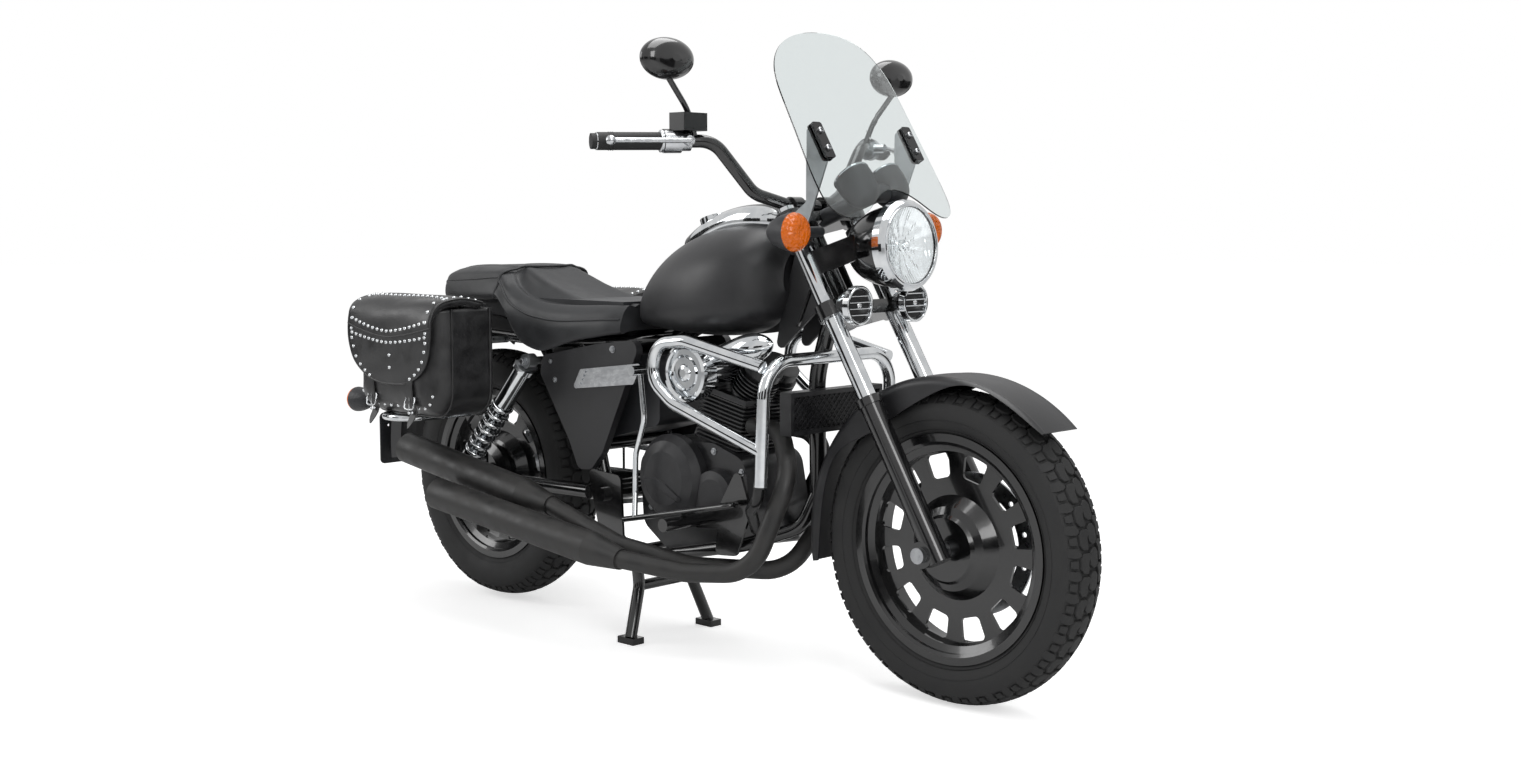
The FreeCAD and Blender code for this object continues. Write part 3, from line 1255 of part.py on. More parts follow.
def flap_corner(edge, inward, bottom):
    near = -bag_outer - lid_overhang
    far = near - lid_thickness - 2 * overrun
    centre = V(edge + inward * lid_flap_corner, 0, bottom + lid_flap_corner)
    square = block(V(min(edge - inward * overrun, centre.x), far, bottom - overrun),
                   V(max(edge - inward * overrun, centre.x), near, centre.z))
    return square.cut(across(centre.x, centre.z, far - overrun, near + overrun, lid_flap_corner))


def bag_lid():
    front, rear, floor, rim = bag_sizes()
    reach = lid_overhang + gap
    low = rim + gap
    profile = [V(0, -bag_inner - hinge_radius * 2.5, low), V(0, -bag_outer - reach, low),
               V(0, -bag_outer - reach, low - lid_flap_drop),
               V(0, -bag_outer - reach - lid_thickness, low - lid_flap_drop),
               V(0, -bag_outer - reach - lid_thickness, low + lid_thickness * 0.5),
               V(0, -bag_outer + lid_crown, low + lid_thickness + lid_crown * 0.7),
               V(0, -(bag_inner + bag_outer) / 2, low + lid_thickness + lid_crown),
               V(0, -bag_inner - lid_crown, low + lid_thickness + lid_crown * 0.6),
               V(0, -bag_inner - hinge_radius * 2.5, low + lid_thickness)]
    face = Part.Face(Part.makePolygon(profile + [profile[0]]))
    body = face.extrude(V(front - rear, 0, 0))
    body.translate(V(rear, 0, 0))
    for edge, inward in ((rear, 1), (front, -1)):
        body = body.cut(flap_corner(edge, inward, low - lid_flap_drop))
    hinge_z = low + hinge_radius
    hinge_y = -bag_inner - hinge_radius
    knuckles = []
    for share in (0.14, 0.70):
        start = rear + (front - rear) * share
        end = start + (front - rear) * 0.16
        knuckle = rod(V(start, hinge_y, hinge_z), V(end, hinge_y, hinge_z), hinge_radius)
        leaf = block(V(start, -bag_inner - hinge_radius * 2.5 - overrun, hinge_z - hinge_radius * 0.5),
                     V(end, hinge_y, hinge_z + hinge_radius * 0.5))
        knuckles.append(fuse([knuckle, leaf]))
    lid = fuse([body] + knuckles)
    return lid.cut(rod(V(rear - overrun, hinge_y, hinge_z), V(front + overrun, hinge_y, hinge_z),
                       hinge_radius * 0.5 + slip))


def bag_hinge():
    front, rear, floor, rim = bag_sizes()
    hinge_z = rim + gap + hinge_radius
    hinge_y = -bag_inner - hinge_radius
    pin = rod(V(rear + (front - rear) * 0.10, hinge_y, hinge_z), V(rear + (front - rear) * 0.90, hinge_y, hinge_z),
              hinge_radius * 0.5)
    ears = []
    for share in (0.10, 0.305, 0.665, 0.865):
        start = rear + (front - rear) * share
        end = start + (front - rear) * 0.030
        ears.append(block(V(start, -bag_inner - hinge_radius * 2, rim - hinge_radius),
                          V(end, -bag_inner, hinge_z + hinge_radius)))
    return fuse([pin] + ears)


def bag_rail():
    front, rear, floor, rim = bag_sizes()
    under = floor - bag_rail_radius
    start = V(front * 0.35, -rear_fender_half_width + fender_thickness, under)
    route = [start, V(front * 0.35, -bag_outer + bag_corner, under), V(rear * 0.4, -bag_outer + bag_corner, under),
             V(rear * 0.4, -rear_fender_half_width + fender_thickness, under)]
    tube = bent_tube(route, bag_rail_radius, tube_bend)
    post = rod(V(front * 0.8, -seat_rail_half_gap - rear_tube_radius, 0.64 * body_height),
               V(front * 0.8, -bag_inner, 0.64 * body_height), bag_rail_radius)
    return tube, post


# Engine
def air_box():
    half = rail_half_gap - rail_radius - gap
    points = [place(0.320, -half, 0.450), place(0.452, -half, 0.430), place(0.640, -half, 0.478), place(0.640, -half, 0.625),
              place(0.320, -half, 0.625)]
    return slab(points, case_round / 2, V(0, 2 * half, 0))


def crankcase():
    half = engine_half_width
    shares = ((0.905, 0.330), (0.885, 0.425), (0.800, 0.452), (0.640, 0.452), (0.575, 0.400), (0.585, 0.262),
              (0.660, 0.212), (0.860, 0.236))
    return side_plate(shares, case_round, -half * 0.78, half * 0.78)


def covers():
    half = engine_half_width * 0.78
    clutch = turned([(0, 0), (0, clutch_cover_radius), (clutch_cover_depth * 0.45, clutch_cover_radius),
                     (clutch_cover_depth * 0.8, clutch_cover_radius * 0.86),
                     (clutch_cover_depth, clutch_cover_radius * 0.62), (clutch_cover_depth, 0)],
                    place(0.690, -half, 0.372), V(0, -1, 0))
    front = turned([(0, 0), (0, clutch_cover_radius * 0.62), (clutch_cover_depth * 0.5, clutch_cover_radius * 0.58),
                    (clutch_cover_depth * 0.6, clutch_cover_radius * 0.4), (clutch_cover_depth * 0.6, 0)],
                   place(0.815, -half, 0.345), V(0, -1, 0))
    stator = turned([(0, 0), (0, stator_cover_radius), (stator_cover_depth * 0.6, stator_cover_radius * 0.95),
                     (stator_cover_depth, stator_cover_radius * 0.7), (stator_cover_depth, 0)],
                    place(0.760, half, 0.345), V(0, 1, 0))
    gear = turned([(0, 0), (0, stator_cover_radius * 0.8), (stator_cover_depth * 0.5, stator_cover_radius * 0.7),
                   (stator_cover_depth * 0.6, 0)], place(0.630, half, 0.345), V(0, 1, 0))
    return fuse([clutch, front]), fuse([stator, gear])


def lean_up(lean):
    angle = math.radians(lean)
    return V(math.sin(angle), 0, math.cos(angle))


def barrel():
    root = place(0.790, 0, 0.446)
    parts = []
    core = block(V(-barrel_half_length * 0.82, -barrel_half_width * 0.82, -case_round),
                 V(barrel_half_length * 0.82, barrel_half_width * 0.82, fin_pitch * barrel_fins))
    parts.append(core)
    for number in range(barrel_fins):
        z = fin_pitch * (number + 0.6)
        points = [V(-barrel_half_length, -barrel_half_width, z), V(barrel_half_length, -barrel_half_width, z),
                  V(barrel_half_length, barrel_half_width, z), V(-barrel_half_length, barrel_half_width, z)]
        parts.append(slab(points, fin_overhang, V(0, 0, fin_thickness)))
    shape = fuse(parts)
    shape.rotate(V(0, 0, 0), V(0, 1, 0), cylinder_lean)
    shape.translate(root)
    return shape


def head():
    root = place(0.790, 0, 0.446)
    rise = lean_up(cylinder_lean)
    base = root.add(rise * (fin_pitch * barrel_fins + gap))
    parts = []
    deck = block(V(-barrel_half_length, -barrel_half_width, 0), V(barrel_half_length, barrel_half_width, fin_pitch * 1.4))
    deck.rotate(V(0, 0, 0), V(0, 1, 0), cylinder_lean)
    deck.translate(base)
    parts.append(deck)
    for angle in (-head_angle, head_angle):
        shaft = fin_pitch * (head_fins + 2)
        limb = [Part.makeCylinder(head_radius * 0.80, shaft, V(0, 0, 0))]
        for number in range(head_fins):
            limb.append(Part.makeCylinder(head_radius, fin_thickness, V(0, 0, fin_pitch * (number + 1.6))))
        limb.append(Part.makeCylinder(head_radius * 0.9, fin_pitch * 2, V(0, 0, shaft)))
        piece = fuse(limb)
        piece.rotate(V(0, 0, 0), V(0, 1, 0), angle + cylinder_lean)
        piece.translate(base.add(V(math.copysign(head_radius * 0.55, angle), 0, 0)))
        for y in (-barrel_half_width * 0.32, barrel_half_width * 0.32):
            copy = piece.copy()
            copy.translate(V(0, y, 0))
            parts.append(copy)
    return fuse(parts)


def air_cleaner():
    centre = place(cleaner_x_share, -cleaner_face, cleaner_z_share)
    cover = turned([(-cleaner_depth, 0), (-cleaner_depth, cleaner_radius * 0.93), (-rim_wall * 1.5, cleaner_radius),
                    (-rim_wall * 0.4, cleaner_radius * 0.97), (0, cleaner_radius * 0.86), (-rim_wall * 0.6, cleaner_radius * 0.80),
                    (-rim_wall * 0.6, cleaner_radius * 0.62), (0, cleaner_radius * 0.58),
                    (-rim_wall * 0.5, cleaner_radius * 0.52), (-rim_wall * 0.5, cleaner_radius * 0.30),
                    (0, cleaner_radius * 0.26), (rim_wall * 0.4, cleaner_radius * 0.14), (rim_wall * 0.4, 0)],
                   centre, V(0, -1, 0))
    neck = rod(place(cleaner_x_share, -main_tube_radius * 2, cleaner_z_share),
               centre.add(V(0, cleaner_depth - overrun, 0)), cleaner_radius * 0.45)
    scoop = dome([(0, cleaner_radius * 0.30), (cleaner_radius, cleaner_radius * 0.42),
                  (cleaner_radius * 2.4, cleaner_radius * 0.40), (cleaner_radius * 2.9, 0)],
                 centre.add(V(cleaner_radius * 0.6, cleaner_depth * 1.1, cleaner_radius * 0.5)), V(1, 0, 0.22))
    return fuse([cover, neck, scoop])


# Crash bars with their side loops
def crash_bars():
    half = crash_spread
    foot = place(crash_foot_shares[0], -half, crash_foot_shares[1])
    top = place(crash_top_shares[0], -half, crash_top_shares[1])
    hoop = bent_tube([foot, top, V(top.x, half, top.z), V(foot.x, half, foot.z)], crash_radius, crash_bend)
    loops = []
    feet = []
    for sign in (-1, 1):
        route = [place(x, sign * half * 1.08, z) for x, z in loop_route_shares]
        route[0].y = sign * half
        route[-1].y = sign * half
        loops.append(bent_tube(route, crash_radius, crash_bend))
        bracket = [V(foot.x, sign * half, foot.z + lug_radius)]
        bracket += [place(x, sign * y * half, z) for x, y, z in crash_bracket_shares]
        feet.append(bent_tube(bracket, crash_radius * 0.9, crash_bend / 2))
    return fuse([hoop] + loops + feet)


def cooler():
    x = cooler_x_share * body_length
    z = cooler_z_share * body_height
    half = cooler_half_width
    low = z - cooler_height / 2
    high = z + cooler_height / 2
    front = x + cooler_depth
    shell = block(V(x, -half, low), V(front, half, high))
    window = block(V(x - overrun, -half + cooler_frame, low + cooler_frame),
                   V(front + overrun, half - cooler_frame, high - cooler_frame))
    parts = [shell.cut(window), block(V(x + cooler_depth * 0.2, -half + cooler_frame / 2, low + cooler_frame / 2),
                                      V(x + cooler_depth * 0.6, half - cooler_frame / 2, high - cooler_frame / 2))]
    span = high - low
    count = int(2 * half / cooler_mesh_pitch)
    layers = []
    for layer, lean in enumerate((1, -1)):
        depth = front - cooler_mesh_thickness * (layer + 1)
        bars = []
        for number in range(-int(span / cooler_mesh_pitch), count):
            y = -half + cooler_mesh_pitch * number
            start = y if lean > 0 else y + span
            end = start + lean * span
            bars.append(slab([V(depth, start, low), V(depth, start + cooler_mesh_thickness, low),
                              V(depth, end + cooler_mesh_thickness, high), V(depth, end, high)], 0,
                             V(-cooler_mesh_thickness, 0, 0)))
        clip = block(V(depth - overrun, -half + cooler_frame / 2, low + cooler_frame / 2),
                     V(depth + overrun, half - cooler_frame / 2, high - cooler_frame / 2))
        layers.append(Part.makeCompound(bars).common(clip))
    back = place(downtube_shares[0][0], 0, cooler_z_share)
    stay = block(V(back.x, -lug_radius, z - lug_radius), V(x + cooler_depth * 0.3, lug_radius, z + lug_radius))
    mesh = [bar for layer in layers for bar in layer.Solids]
    return fuse(parts + mesh + [stay])


def exhaust_tube(shares, muffler_shares, radius):
    route = [place(x, -y * exhaust_reach, z) for x, y, z in shares + muffler_shares[1:]]
    inward = route[-1].sub(route[-2])
    inward.normalize()
    route[-1] = route[-2].add(inward * header_bend * header_entry_share)
    return bent_tube(route, radius, header_bend)


def muffler(shares, radius):
    route = [place(x, -y * exhaust_reach, z) for x, y, z in shares]
    start = route[-2]
    end = route[-1]
    axis = end.sub(start)
    axis.normalize()
    cone = Part.makeCone(header_radius * header_collar_share, radius, header_bend, start, axis)
    barrel_start = start.add(axis * header_bend)
    body = rod(barrel_start, end, radius)
    mouth = Part.makeCylinder(radius - muffler_wall, tip_depth, end.sub(axis * tip_depth), axis)
    return fuse([cone, body]).cut(mouth)


# Footpegs, levers, chain and stands
def footrests():
    low = rail_half_gap + rail_radius
    parts = []
    bar = bent_tube([place(0.905, -low, 0.345), place(0.938, -low - tube_bend * 0.9, 0.349),
                     place(0.617, -low - tube_bend * 0.9, 0.283)], rim_wall, tube_bend / 2)
    parts.append(bar)
    plate = side_plate(((0.905, 0.420), (0.940, 0.330), (0.900, 0.235), (0.840, 0.230), (0.850, 0.330)), lug_radius / 2,
                       -low - rim_wall, -low)
    parts.append(plate)
    peg = across(0.800 * body_length, 0.300 * body_height, -low - grip_length * 0.9, -low, riser_radius * 0.8)
    support = side_plate(((0.780, 0.318), (0.905, 0.330), (0.905, 0.290), (0.780, 0.280)), rim_wall, -low - rim_wall, -low)
    parts.append(peg)
    parts.append(support)
    return fuse(parts)


def brake_lever():
    y = -engine_half_width - clutch_cover_depth - rim_wall
    route = [place(0.655, y, 0.600), place(0.668, y, 0.500), place(0.640, y, 0.420), place(0.638, y, 0.340)]
    arm = bent_tube(route, rim_wall, tube_bend)
    foot = rod(route[0].sub(V(0, lug_radius, 0)), route[0].add(V(0, lug_radius, 0)), riser_radius * 0.6)
    link = rod(route[-1], place(0.650, -rail_half_gap - rail_radius - tube_bend * 0.9, 0.289), rim_wall)
    return fuse([arm, foot, link])


def chain():
    pitch_radius = sprocket_radius + rim_wall
    front = place(0.620, 0, 0.345)
    small = sprocket_radius * 0.42
    low = chain_line - rim_wall * 1.1
    span = front.sub(rear_axle)
    angle = math.acos((pitch_radius - small) / span.Length)
    tilt_line = math.atan2(span.z, span.x)
    upper = tilt_line + angle
    lower = tilt_line - angle

    def loop(grow):
        def at(centre, radius, turn):
            return V(centre.x + radius * math.cos(turn), low, centre.z + radius * math.sin(turn))
        large = pitch_radius + grow
        little = small + grow
        a = at(rear_axle, large, upper)
        b = at(front, little, upper)
        c = at(front, little, lower)
        d = at(rear_axle, large, lower)
        edges = [Part.LineSegment(a, b).toShape(),
                 Part.Arc(b, at(front, little, tilt_line), c).toShape(),
                 Part.LineSegment(c, d).toShape(),
                 Part.Arc(d, at(rear_axle, large, tilt_line + math.pi), a).toShape()]
        return Part.Face(Part.Wire(edges)).extrude(V(0, rim_wall * 2.2, 0))
    return loop(rim_wall).cut(loop(-rim_wall * 0.8))


def chain_guard():
    low = chain_line - rim_wall * 1.8
    route = ((0.470, 0.415), (0.060, 0.432), (-0.045, 0.420), (-0.085, 0.392), (-0.078, 0.384), (-0.038, 0.410),
             (0.050, 0.420), (0.470, 0.402))
    plate = side_plate(route, 0, low, low + rim_wall * 3.6)
    stay = across(0.300 * body_length, 0.412 * body_height, low, swingarm_half_gap, rim_wall / 2)
    leg = rod(V(0.300 * body_length, swingarm_half_gap, 0.412 * body_height),
              V(0.300 * body_length, swingarm_half_gap, 0.320 * body_height), rim_wall / 2)
    return fuse([plate, stay, leg])


def centre_stand():
    pivot = place(stand_pivot_shares[0], 0, stand_pivot_shares[1])
    top_half = rail_half_gap - rail_radius - stand_leg_radius - gap
    foot_half = stand_spread / 2
    foot_x = pivot.x + stand_foot_lead
    legs = []
    for sign in (-1, 1):
        foot = V(foot_x, sign * foot_half, stand_foot_radius * 0.7)
        route = [V(pivot.x, sign * top_half, pivot.z), V(pivot.x + stand_foot_lead * 0.4, sign * top_half, pivot.z * 0.6),
                 foot]
        legs.append(bent_tube(route, stand_leg_radius, tube_bend))
        legs.append(across(pivot.x, pivot.z, sign * top_half - stand_leg_radius, sign * top_half + stand_leg_radius,
                           stand_leg_radius * 1.2))
        legs.append(block(V(foot.x - lug_radius, foot.y - stand_foot_radius, 0),
                          V(foot.x + lug_radius, foot.y + stand_foot_radius, stand_foot_radius * 0.9)))
    legs.append(rod(V(pivot.x + stand_foot_lead * 0.4, -top_half, pivot.z * 0.6),
                    V(pivot.x + stand_foot_lead * 0.4, top_half, pivot.z * 0.6), stand_leg_radius * 0.9))
    bore = across(pivot.x, pivot.z, -rail_half_gap, rail_half_gap, stand_pin_radius + slip)
    return fuse(legs).cut(bore)


def stand_bracket():
    pivot = place(stand_pivot_shares[0], 0, stand_pivot_shares[1])
    outer = rail_half_gap
    return across(pivot.x, pivot.z, -outer, outer, stand_pin_radius)


def side_stand_axis():
    splay = math.radians(side_stand_splay)
    return V(0, math.cos(splay), math.sin(splay))


def side_stand():
    pivot = place(side_stand_x_share, side_stand_half_gap, side_stand_z_share)
    axis = side_stand_axis()
    boss_radius = side_stand_radius * 1.6
    end = pivot.sub(V(side_stand_length, 0, 0))
    start = pivot.sub(V((boss_radius + stand_pin_radius) / 2, 0, 0))
    boss = rod(pivot.sub(axis * side_stand_radius), pivot.add(axis * side_stand_radius), boss_radius)
    bore = rod(pivot.sub(axis * lug_radius), pivot.add(axis * lug_radius), stand_pin_radius + slip)
    leg = rod(start, end, side_stand_radius * 0.9)
    pad = Part.makeCylinder(side_stand_foot_width / 2, flange_thickness, end, V(-1, 0, 0))
    return fuse([boss.cut(bore), leg, pad])


def side_stand_lug():
    pivot = place(side_stand_x_share, side_stand_half_gap, side_stand_z_share)
    axis = side_stand_axis()
    pin = rod(pivot.sub(axis * (side_stand_half_gap - rail_half_gap)), pivot.add(axis * (side_stand_radius + overrun)),
              stand_pin_radius)
    cap = rod(pivot.add(axis * (side_stand_radius + gap)), pivot.add(axis * (side_stand_radius + overrun)),
              stand_pin_radius * 1.5)
    return fuse([pin, cap])


def chain_case():
    low = chain_line + rim_wall * 1.6
    plate = side_plate(((0.572, 0.416), (0.700, 0.416), (0.700, 0.276), (0.572, 0.276)), case_round, low, low + rim_wall)
    web = block(place(0.676, engine_half_width * 0.78 - overrun, 0.300), place(0.694, low, 0.392))
    return fuse([plate, web])


def chain_room():
    return block(place(0.500, chain_line - rim_wall * 1.6, 0.200), place(0.672, engine_half_width * 2, 0.500))


# Assembly: each piece is cut back by the ones that carry it, so that they seat face to face
bar_solid, riser_solids = handlebar()
pieces = {}


def add(name, shape, *seats):
    solids = shape.Solids
    for seat_name in seats:
        solids = [rest for solid in solids for rest in solid.cut(pieces[seat_name]).Solids]
    pieces[name] = solids[0] if len(solids) == 1 else Part.makeCompound(solids)


def add_frame_body():
    pins = [stand_bracket(), side_stand_lug()]
    bolt = across(pivot_x_share * body_length, pivot_z_share * body_height, -rail_half_gap * 2, rail_half_gap * 2,
                  pivot_radius)
    add("frame_tubes", fuse([frame_tubes()] + pins).cut(bolt))
    add("swingarm", swingarm(), "frame_tubes")
    add("pivot_plates", pivot_plates(), "frame_tubes")
    add("rear_axle", rear_axle_bar())
    add("rear_brake", rear_brake(), "rear_axle", "swingarm")
    add("shocks", pair(shock()), "swingarm", "frame_tubes")
    add("crankcase", crankcase().cut(chain_room()), "frame_tubes", "pivot_plates")
    clutch_side, stator_side = covers()
    add("engine_covers", Part.makeCompound([clutch_side, fuse([stator_side, chain_case()]).cut(chain_room_inner())]),
        "crankcase", "frame_tubes")
    add("cylinders", fuse([barrel(), head()]), "crankcase", "frame_tubes")
    add("air_box", air_box(), "frame_tubes", "cylinders", "crankcase", "swingarm")
    add("air_cleaner", air_cleaner(), "cylinders", "frame_tubes", "air_box")
    exhaust_upper = fuse([exhaust_tube(header_rear_shares, upper_muffler_shares, header_radius), muffler(upper_muffler_shares, muffler_radius)])
    exhaust_lower = fuse([exhaust_tube(header_front_shares, lower_muffler_shares, header_radius),
                          muffler(lower_muffler_shares, lower_muffler_radius)])
    add("exhausts", Part.makeCompound([exhaust_upper, exhaust_lower]), "cylinders", "frame_tubes", "crankcase")
    add("fuel_tank", tank(), "frame_tubes")
    cap = filler()
    add("console", fuse([console(), cap]), "fuel_tank")
    add("rear_fender", rear_fender(), "frame_tubes")
    add("seat", seat().cut(fender_fill()), "frame_tubes", "fuel_tank")
    add("side_covers", fuse_apart([neck_cover(), side_cover()]), "frame_tubes", "fuel_tank", "cylinders", "seat", "air_box")
    add("vent_plates", pair(vent_plate()), "side_covers")
    add("tail_lamp", tail_lamp().cut(fender_fill()))
    add("plate_holder", plate_holder().cut(fender_fill()))
    add("rear_indicators", pair(rear_indicators().cut(fender_fill())))
    add("saddlebags", pair(bag()))
    rail_tube, rail_post = bag_rail()
    add("bag_carriers", Part.makeCompound(pair(bag_hinge()).Solids + pair(rail_post).Solids), "saddlebags", "shocks")
    add("guard_rails", Part.makeCompound([crash_bars()] + pair(rail_tube).Solids), "frame_tubes", "saddlebags",
        "rear_fender", "crankcase", "exhausts")
    add("cooler", cooler(), "frame_tubes", "guard_rails")
    add("footrests", pair(footrests()), "frame_tubes", "engine_covers", "crankcase")
    add("brake_lever", brake_lever(), "footrests", "engine_covers")
    add("chain", chain())
    add("chain_guard", chain_guard(), "swingarm", "frame_tubes", "chain")


def chain_room_inner():
    return block(place(0.500, 0, 0.200), place(0.672, chain_line + rim_wall * 1.6, 0.500))


def fuse_apart(shapes):
    solids = []
    for shape in shapes:
        solids += pair(shape).Solids
    return Part.makeCompound(solids)


def add_fork_body():
    add("fork_legs", fork_legs())
    add("front_caliper", front_caliper(), "fork_legs")
    add("stanchions", stanchions())
    add("front_axle", front_axle_bar())
    add("yokes", yokes(), "stanchions")
    add("front_fender", front_fender(), "fork_legs")
    add("handlebar", fuse([bar_solid] + riser_solids), "yokes")
    add("grips", grips(), "handlebar")
    add("mirrors", mirrors(), "handlebar")
    add("controls", Part.makeCompound([on_grip(control(), -1), on_grip(control(), 1), reservoir()]), "mirrors", "grips")
    lamp_bowl, lamp_bezel, lamp_lens, lamp_arms = headlamp()
    add("headlamp_shell", fuse([lamp_bowl] + lamp_arms), "stanchions", "yokes")
    add("headlamp_bezel", lamp_bezel, "headlamp_shell")
    add("headlamp_lens", lamp_lens, "headlamp_bezel", "headlamp_shell")
    indicator_body, indicator_lens = front_indicators()
    add("front_indicators", pair(indicator_body), "stanchions", "yokes", "headlamp_shell")
    add("front_indicator_lenses", pair(indicator_lens), "front_indicators")
    horn_shell, horn_stalk = horns()
    add("horns", pair(fuse([horn_shell, horn_stalk])), "stanchions", "yokes", "headlamp_shell")
    add("gauges", gauges(), "yokes", "handlebar", "stanchions")
    add("windscreen", windscreen(), "gauges")
    screen_plates, screen_arm = screen_mounts()
    inner_mount = fuse([screen_arm, screen_plates[1]])
    add("screen_mounts", Part.makeCompound(pair(inner_mount).Solids + pair(screen_plates[0]).Solids), "windscreen",
        "stanchions", "yokes", "front_indicators", "headlamp_shell", "gauges")


def add_moving_pieces():
    add("front_tyre", tyre(front_axle, front_tyre_radius, front_tyre_width, front_flange_radius, front_rim_width))
    add("front_wheel_disc", cast_wheel(front_axle, front_flange_radius, front_rim_width))
    add("front_brake_disc", brake_disc())
    add("rear_tyre", tyre(rear_axle, rear_tyre_radius, rear_tyre_width, rear_flange_radius, rear_rim_width))
    add("rear_wheel_disc", cast_wheel(rear_axle, rear_flange_radius, rear_rim_width))
    add("rear_sprocket", sprocket())
    add("bag_lid_right", bag_lid())
    add("bag_lid_left", mirrored(bag_lid()))
    add("centre_stand", centre_stand())
    add("side_stand", side_stand())


add_frame_body()
add_fork_body()
add_moving_pieces()
front_reach = wheelbase + front_tyre_radius
rear_reach = pieces["plate_holder"].BoundBox.XMin
middle = (front_reach + rear_reach) / 2
os.makedirs("parts", exist_ok=True)
for name, shape in pieces.items():
    moved = shape.copy()
    moved.translate(V(-middle, 0, 0))
    print(name, [round(solid.Volume) for solid in moved.Solids], moved.isValid())
    moved.exportStep("parts/" + name + ".step")
print("moved back by", middle, "nodes", len(pieces))
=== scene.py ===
# %% [markdown]
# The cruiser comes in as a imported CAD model: every tube, wheel and cover is already at its real size and place.
# This script gives it the finishes of the real machine and adds what a CAD solid is too plain for: tyre tread,
# padded seat, leather bags with straps and studs, bolts, lamp glass and dials.

# %% Load the machine
import math
import bmesh
import bpy
import numpy as np
from mathutils import Matrix, Vector


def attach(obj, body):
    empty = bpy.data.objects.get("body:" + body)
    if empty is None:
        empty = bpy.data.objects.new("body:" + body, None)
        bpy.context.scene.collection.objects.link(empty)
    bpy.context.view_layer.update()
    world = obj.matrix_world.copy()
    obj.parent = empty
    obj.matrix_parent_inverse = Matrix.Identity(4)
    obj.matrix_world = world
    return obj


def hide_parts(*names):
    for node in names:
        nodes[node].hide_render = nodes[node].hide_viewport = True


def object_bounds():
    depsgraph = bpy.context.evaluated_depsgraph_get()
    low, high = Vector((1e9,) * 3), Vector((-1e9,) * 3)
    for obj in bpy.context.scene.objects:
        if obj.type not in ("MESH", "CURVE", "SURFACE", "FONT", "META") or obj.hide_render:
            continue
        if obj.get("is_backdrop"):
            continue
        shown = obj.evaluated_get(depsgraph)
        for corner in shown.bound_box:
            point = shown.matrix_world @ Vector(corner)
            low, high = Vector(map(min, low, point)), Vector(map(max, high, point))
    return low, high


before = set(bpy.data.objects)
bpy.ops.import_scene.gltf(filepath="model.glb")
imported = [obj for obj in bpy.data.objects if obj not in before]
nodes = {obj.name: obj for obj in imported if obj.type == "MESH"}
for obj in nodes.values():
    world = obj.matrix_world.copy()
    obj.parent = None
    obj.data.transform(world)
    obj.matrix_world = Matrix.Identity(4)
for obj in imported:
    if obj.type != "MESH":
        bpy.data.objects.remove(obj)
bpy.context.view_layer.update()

scene = bpy.context.scene
mm = 0.001
middle = 0.628953  # how far the machine's middle, where x is 0, lies ahead of the rear axle


def at(x, y, z):
    """A point given from the ground under the rear axle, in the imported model's own frame."""
    return Vector((x - middle, y, z))


# %% [markdown]
# The photograph was taken from the front right, a little above the tank, with a long lens. The camera is set
# by three unit vectors, its right, up and back, because a rotation matrix made of them has no order of angles
# to get wrong. The focal length is the fitted one on a 36 mm wide sensor, and nothing is shifted.

# %% Camera
azimuth, elevation = math.radians(43.541), math.radians(5.681)
level = math.cos(elevation)
right = Vector((math.cos(azimuth), math.sin(azimuth), 0))
back = Vector((math.sin(azimuth) * level, -math.cos(azimuth) * level, math.sin(elevation)))
turn = Matrix((right, back.cross(right), back)).transposed().to_4x4()
camera = bpy.data.objects.new("camera", bpy.data.cameras.new("camera"))
camera.data.sensor_width = 36
camera.data.lens = 41.107
camera.matrix_world = Matrix.Translation(at(3.3162, -2.5961, 0.9175)) @ turn
scene.collection.objects.link(camera)
scene.camera = camera
print("camera", [round(v, 3) for v in camera.location])

# %% [markdown]
# A pale studio: the world gives even light from all round, and three soft boxes above draw the long highlights
# on the tank and the fenders. The world is white where a ray looks at it straight or through glass, a little
# dimmer in a mirror, and half as bright where it lights the machine. Chrome and gloss black show only what they
# reflect, so eight black cards that only mirrors see stand round the machine. They draw the dark bands that make
# chrome look like chrome.

# %% Nodes and studio light
white = (1, 1, 1, 1)


def add_node(tree, kind, inputs=None, **settings):
    """Adds a node with its settings. An input is either a number or colour, or the socket that it is linked from."""
    made = tree.nodes.new(kind)
    for name, value in settings.items():
        setattr(made, name, value)
    for name, value in (inputs or {}).items():
        if isinstance(value, bpy.types.NodeSocket):
            tree.links.new(value, made.inputs[name])
        else:
            made.inputs[name].default_value = value
    return made


def looked_at(tree):
    """The light path, and a value that is 1 for a ray from the camera or through glass."""
    path = add_node(tree, "ShaderNodeLightPath").outputs
    seen = add_node(tree, "ShaderNodeMath", {0: path["Is Camera Ray"], 1: path["Is Transmission Ray"]},
                    operation="MAXIMUM")
    return path, seen.outputs[0]


world_light, glossy_share = 0.50, 0.55
world = bpy.data.worlds.new("studio")
scene.world = world
scene.view_settings.view_transform = "Standard"
world.use_nodes = True
tree = world.node_tree
tree.nodes.clear()
path, seen = looked_at(tree)
glossy = add_node(tree, "ShaderNodeMath", {0: path["Is Glossy Ray"], 1: glossy_share}, operation="MULTIPLY")
straight = add_node(tree, "ShaderNodeMath", {0: seen, 1: glossy.outputs[0]}, operation="MAXIMUM")
strength = add_node(tree, "ShaderNodeMapRange", {0: straight.outputs[0], 1: 0.0, 2: 1.0, 3: world_light, 4: 1.0})
light = add_node(tree, "ShaderNodeBackground", {"Color": white, "Strength": strength.outputs[0]})
add_node(tree, "ShaderNodeOutputWorld", {"Surface": light.outputs[0]})


def aimed(obj, place, target):
    """Stands obj at place, facing target, and puts it in the scene."""
    obj.location = place
    obj.rotation_euler = (Vector(place) - Vector(target)).to_track_quat("Z", "Y").to_euler()
    scene.collection.objects.link(obj)


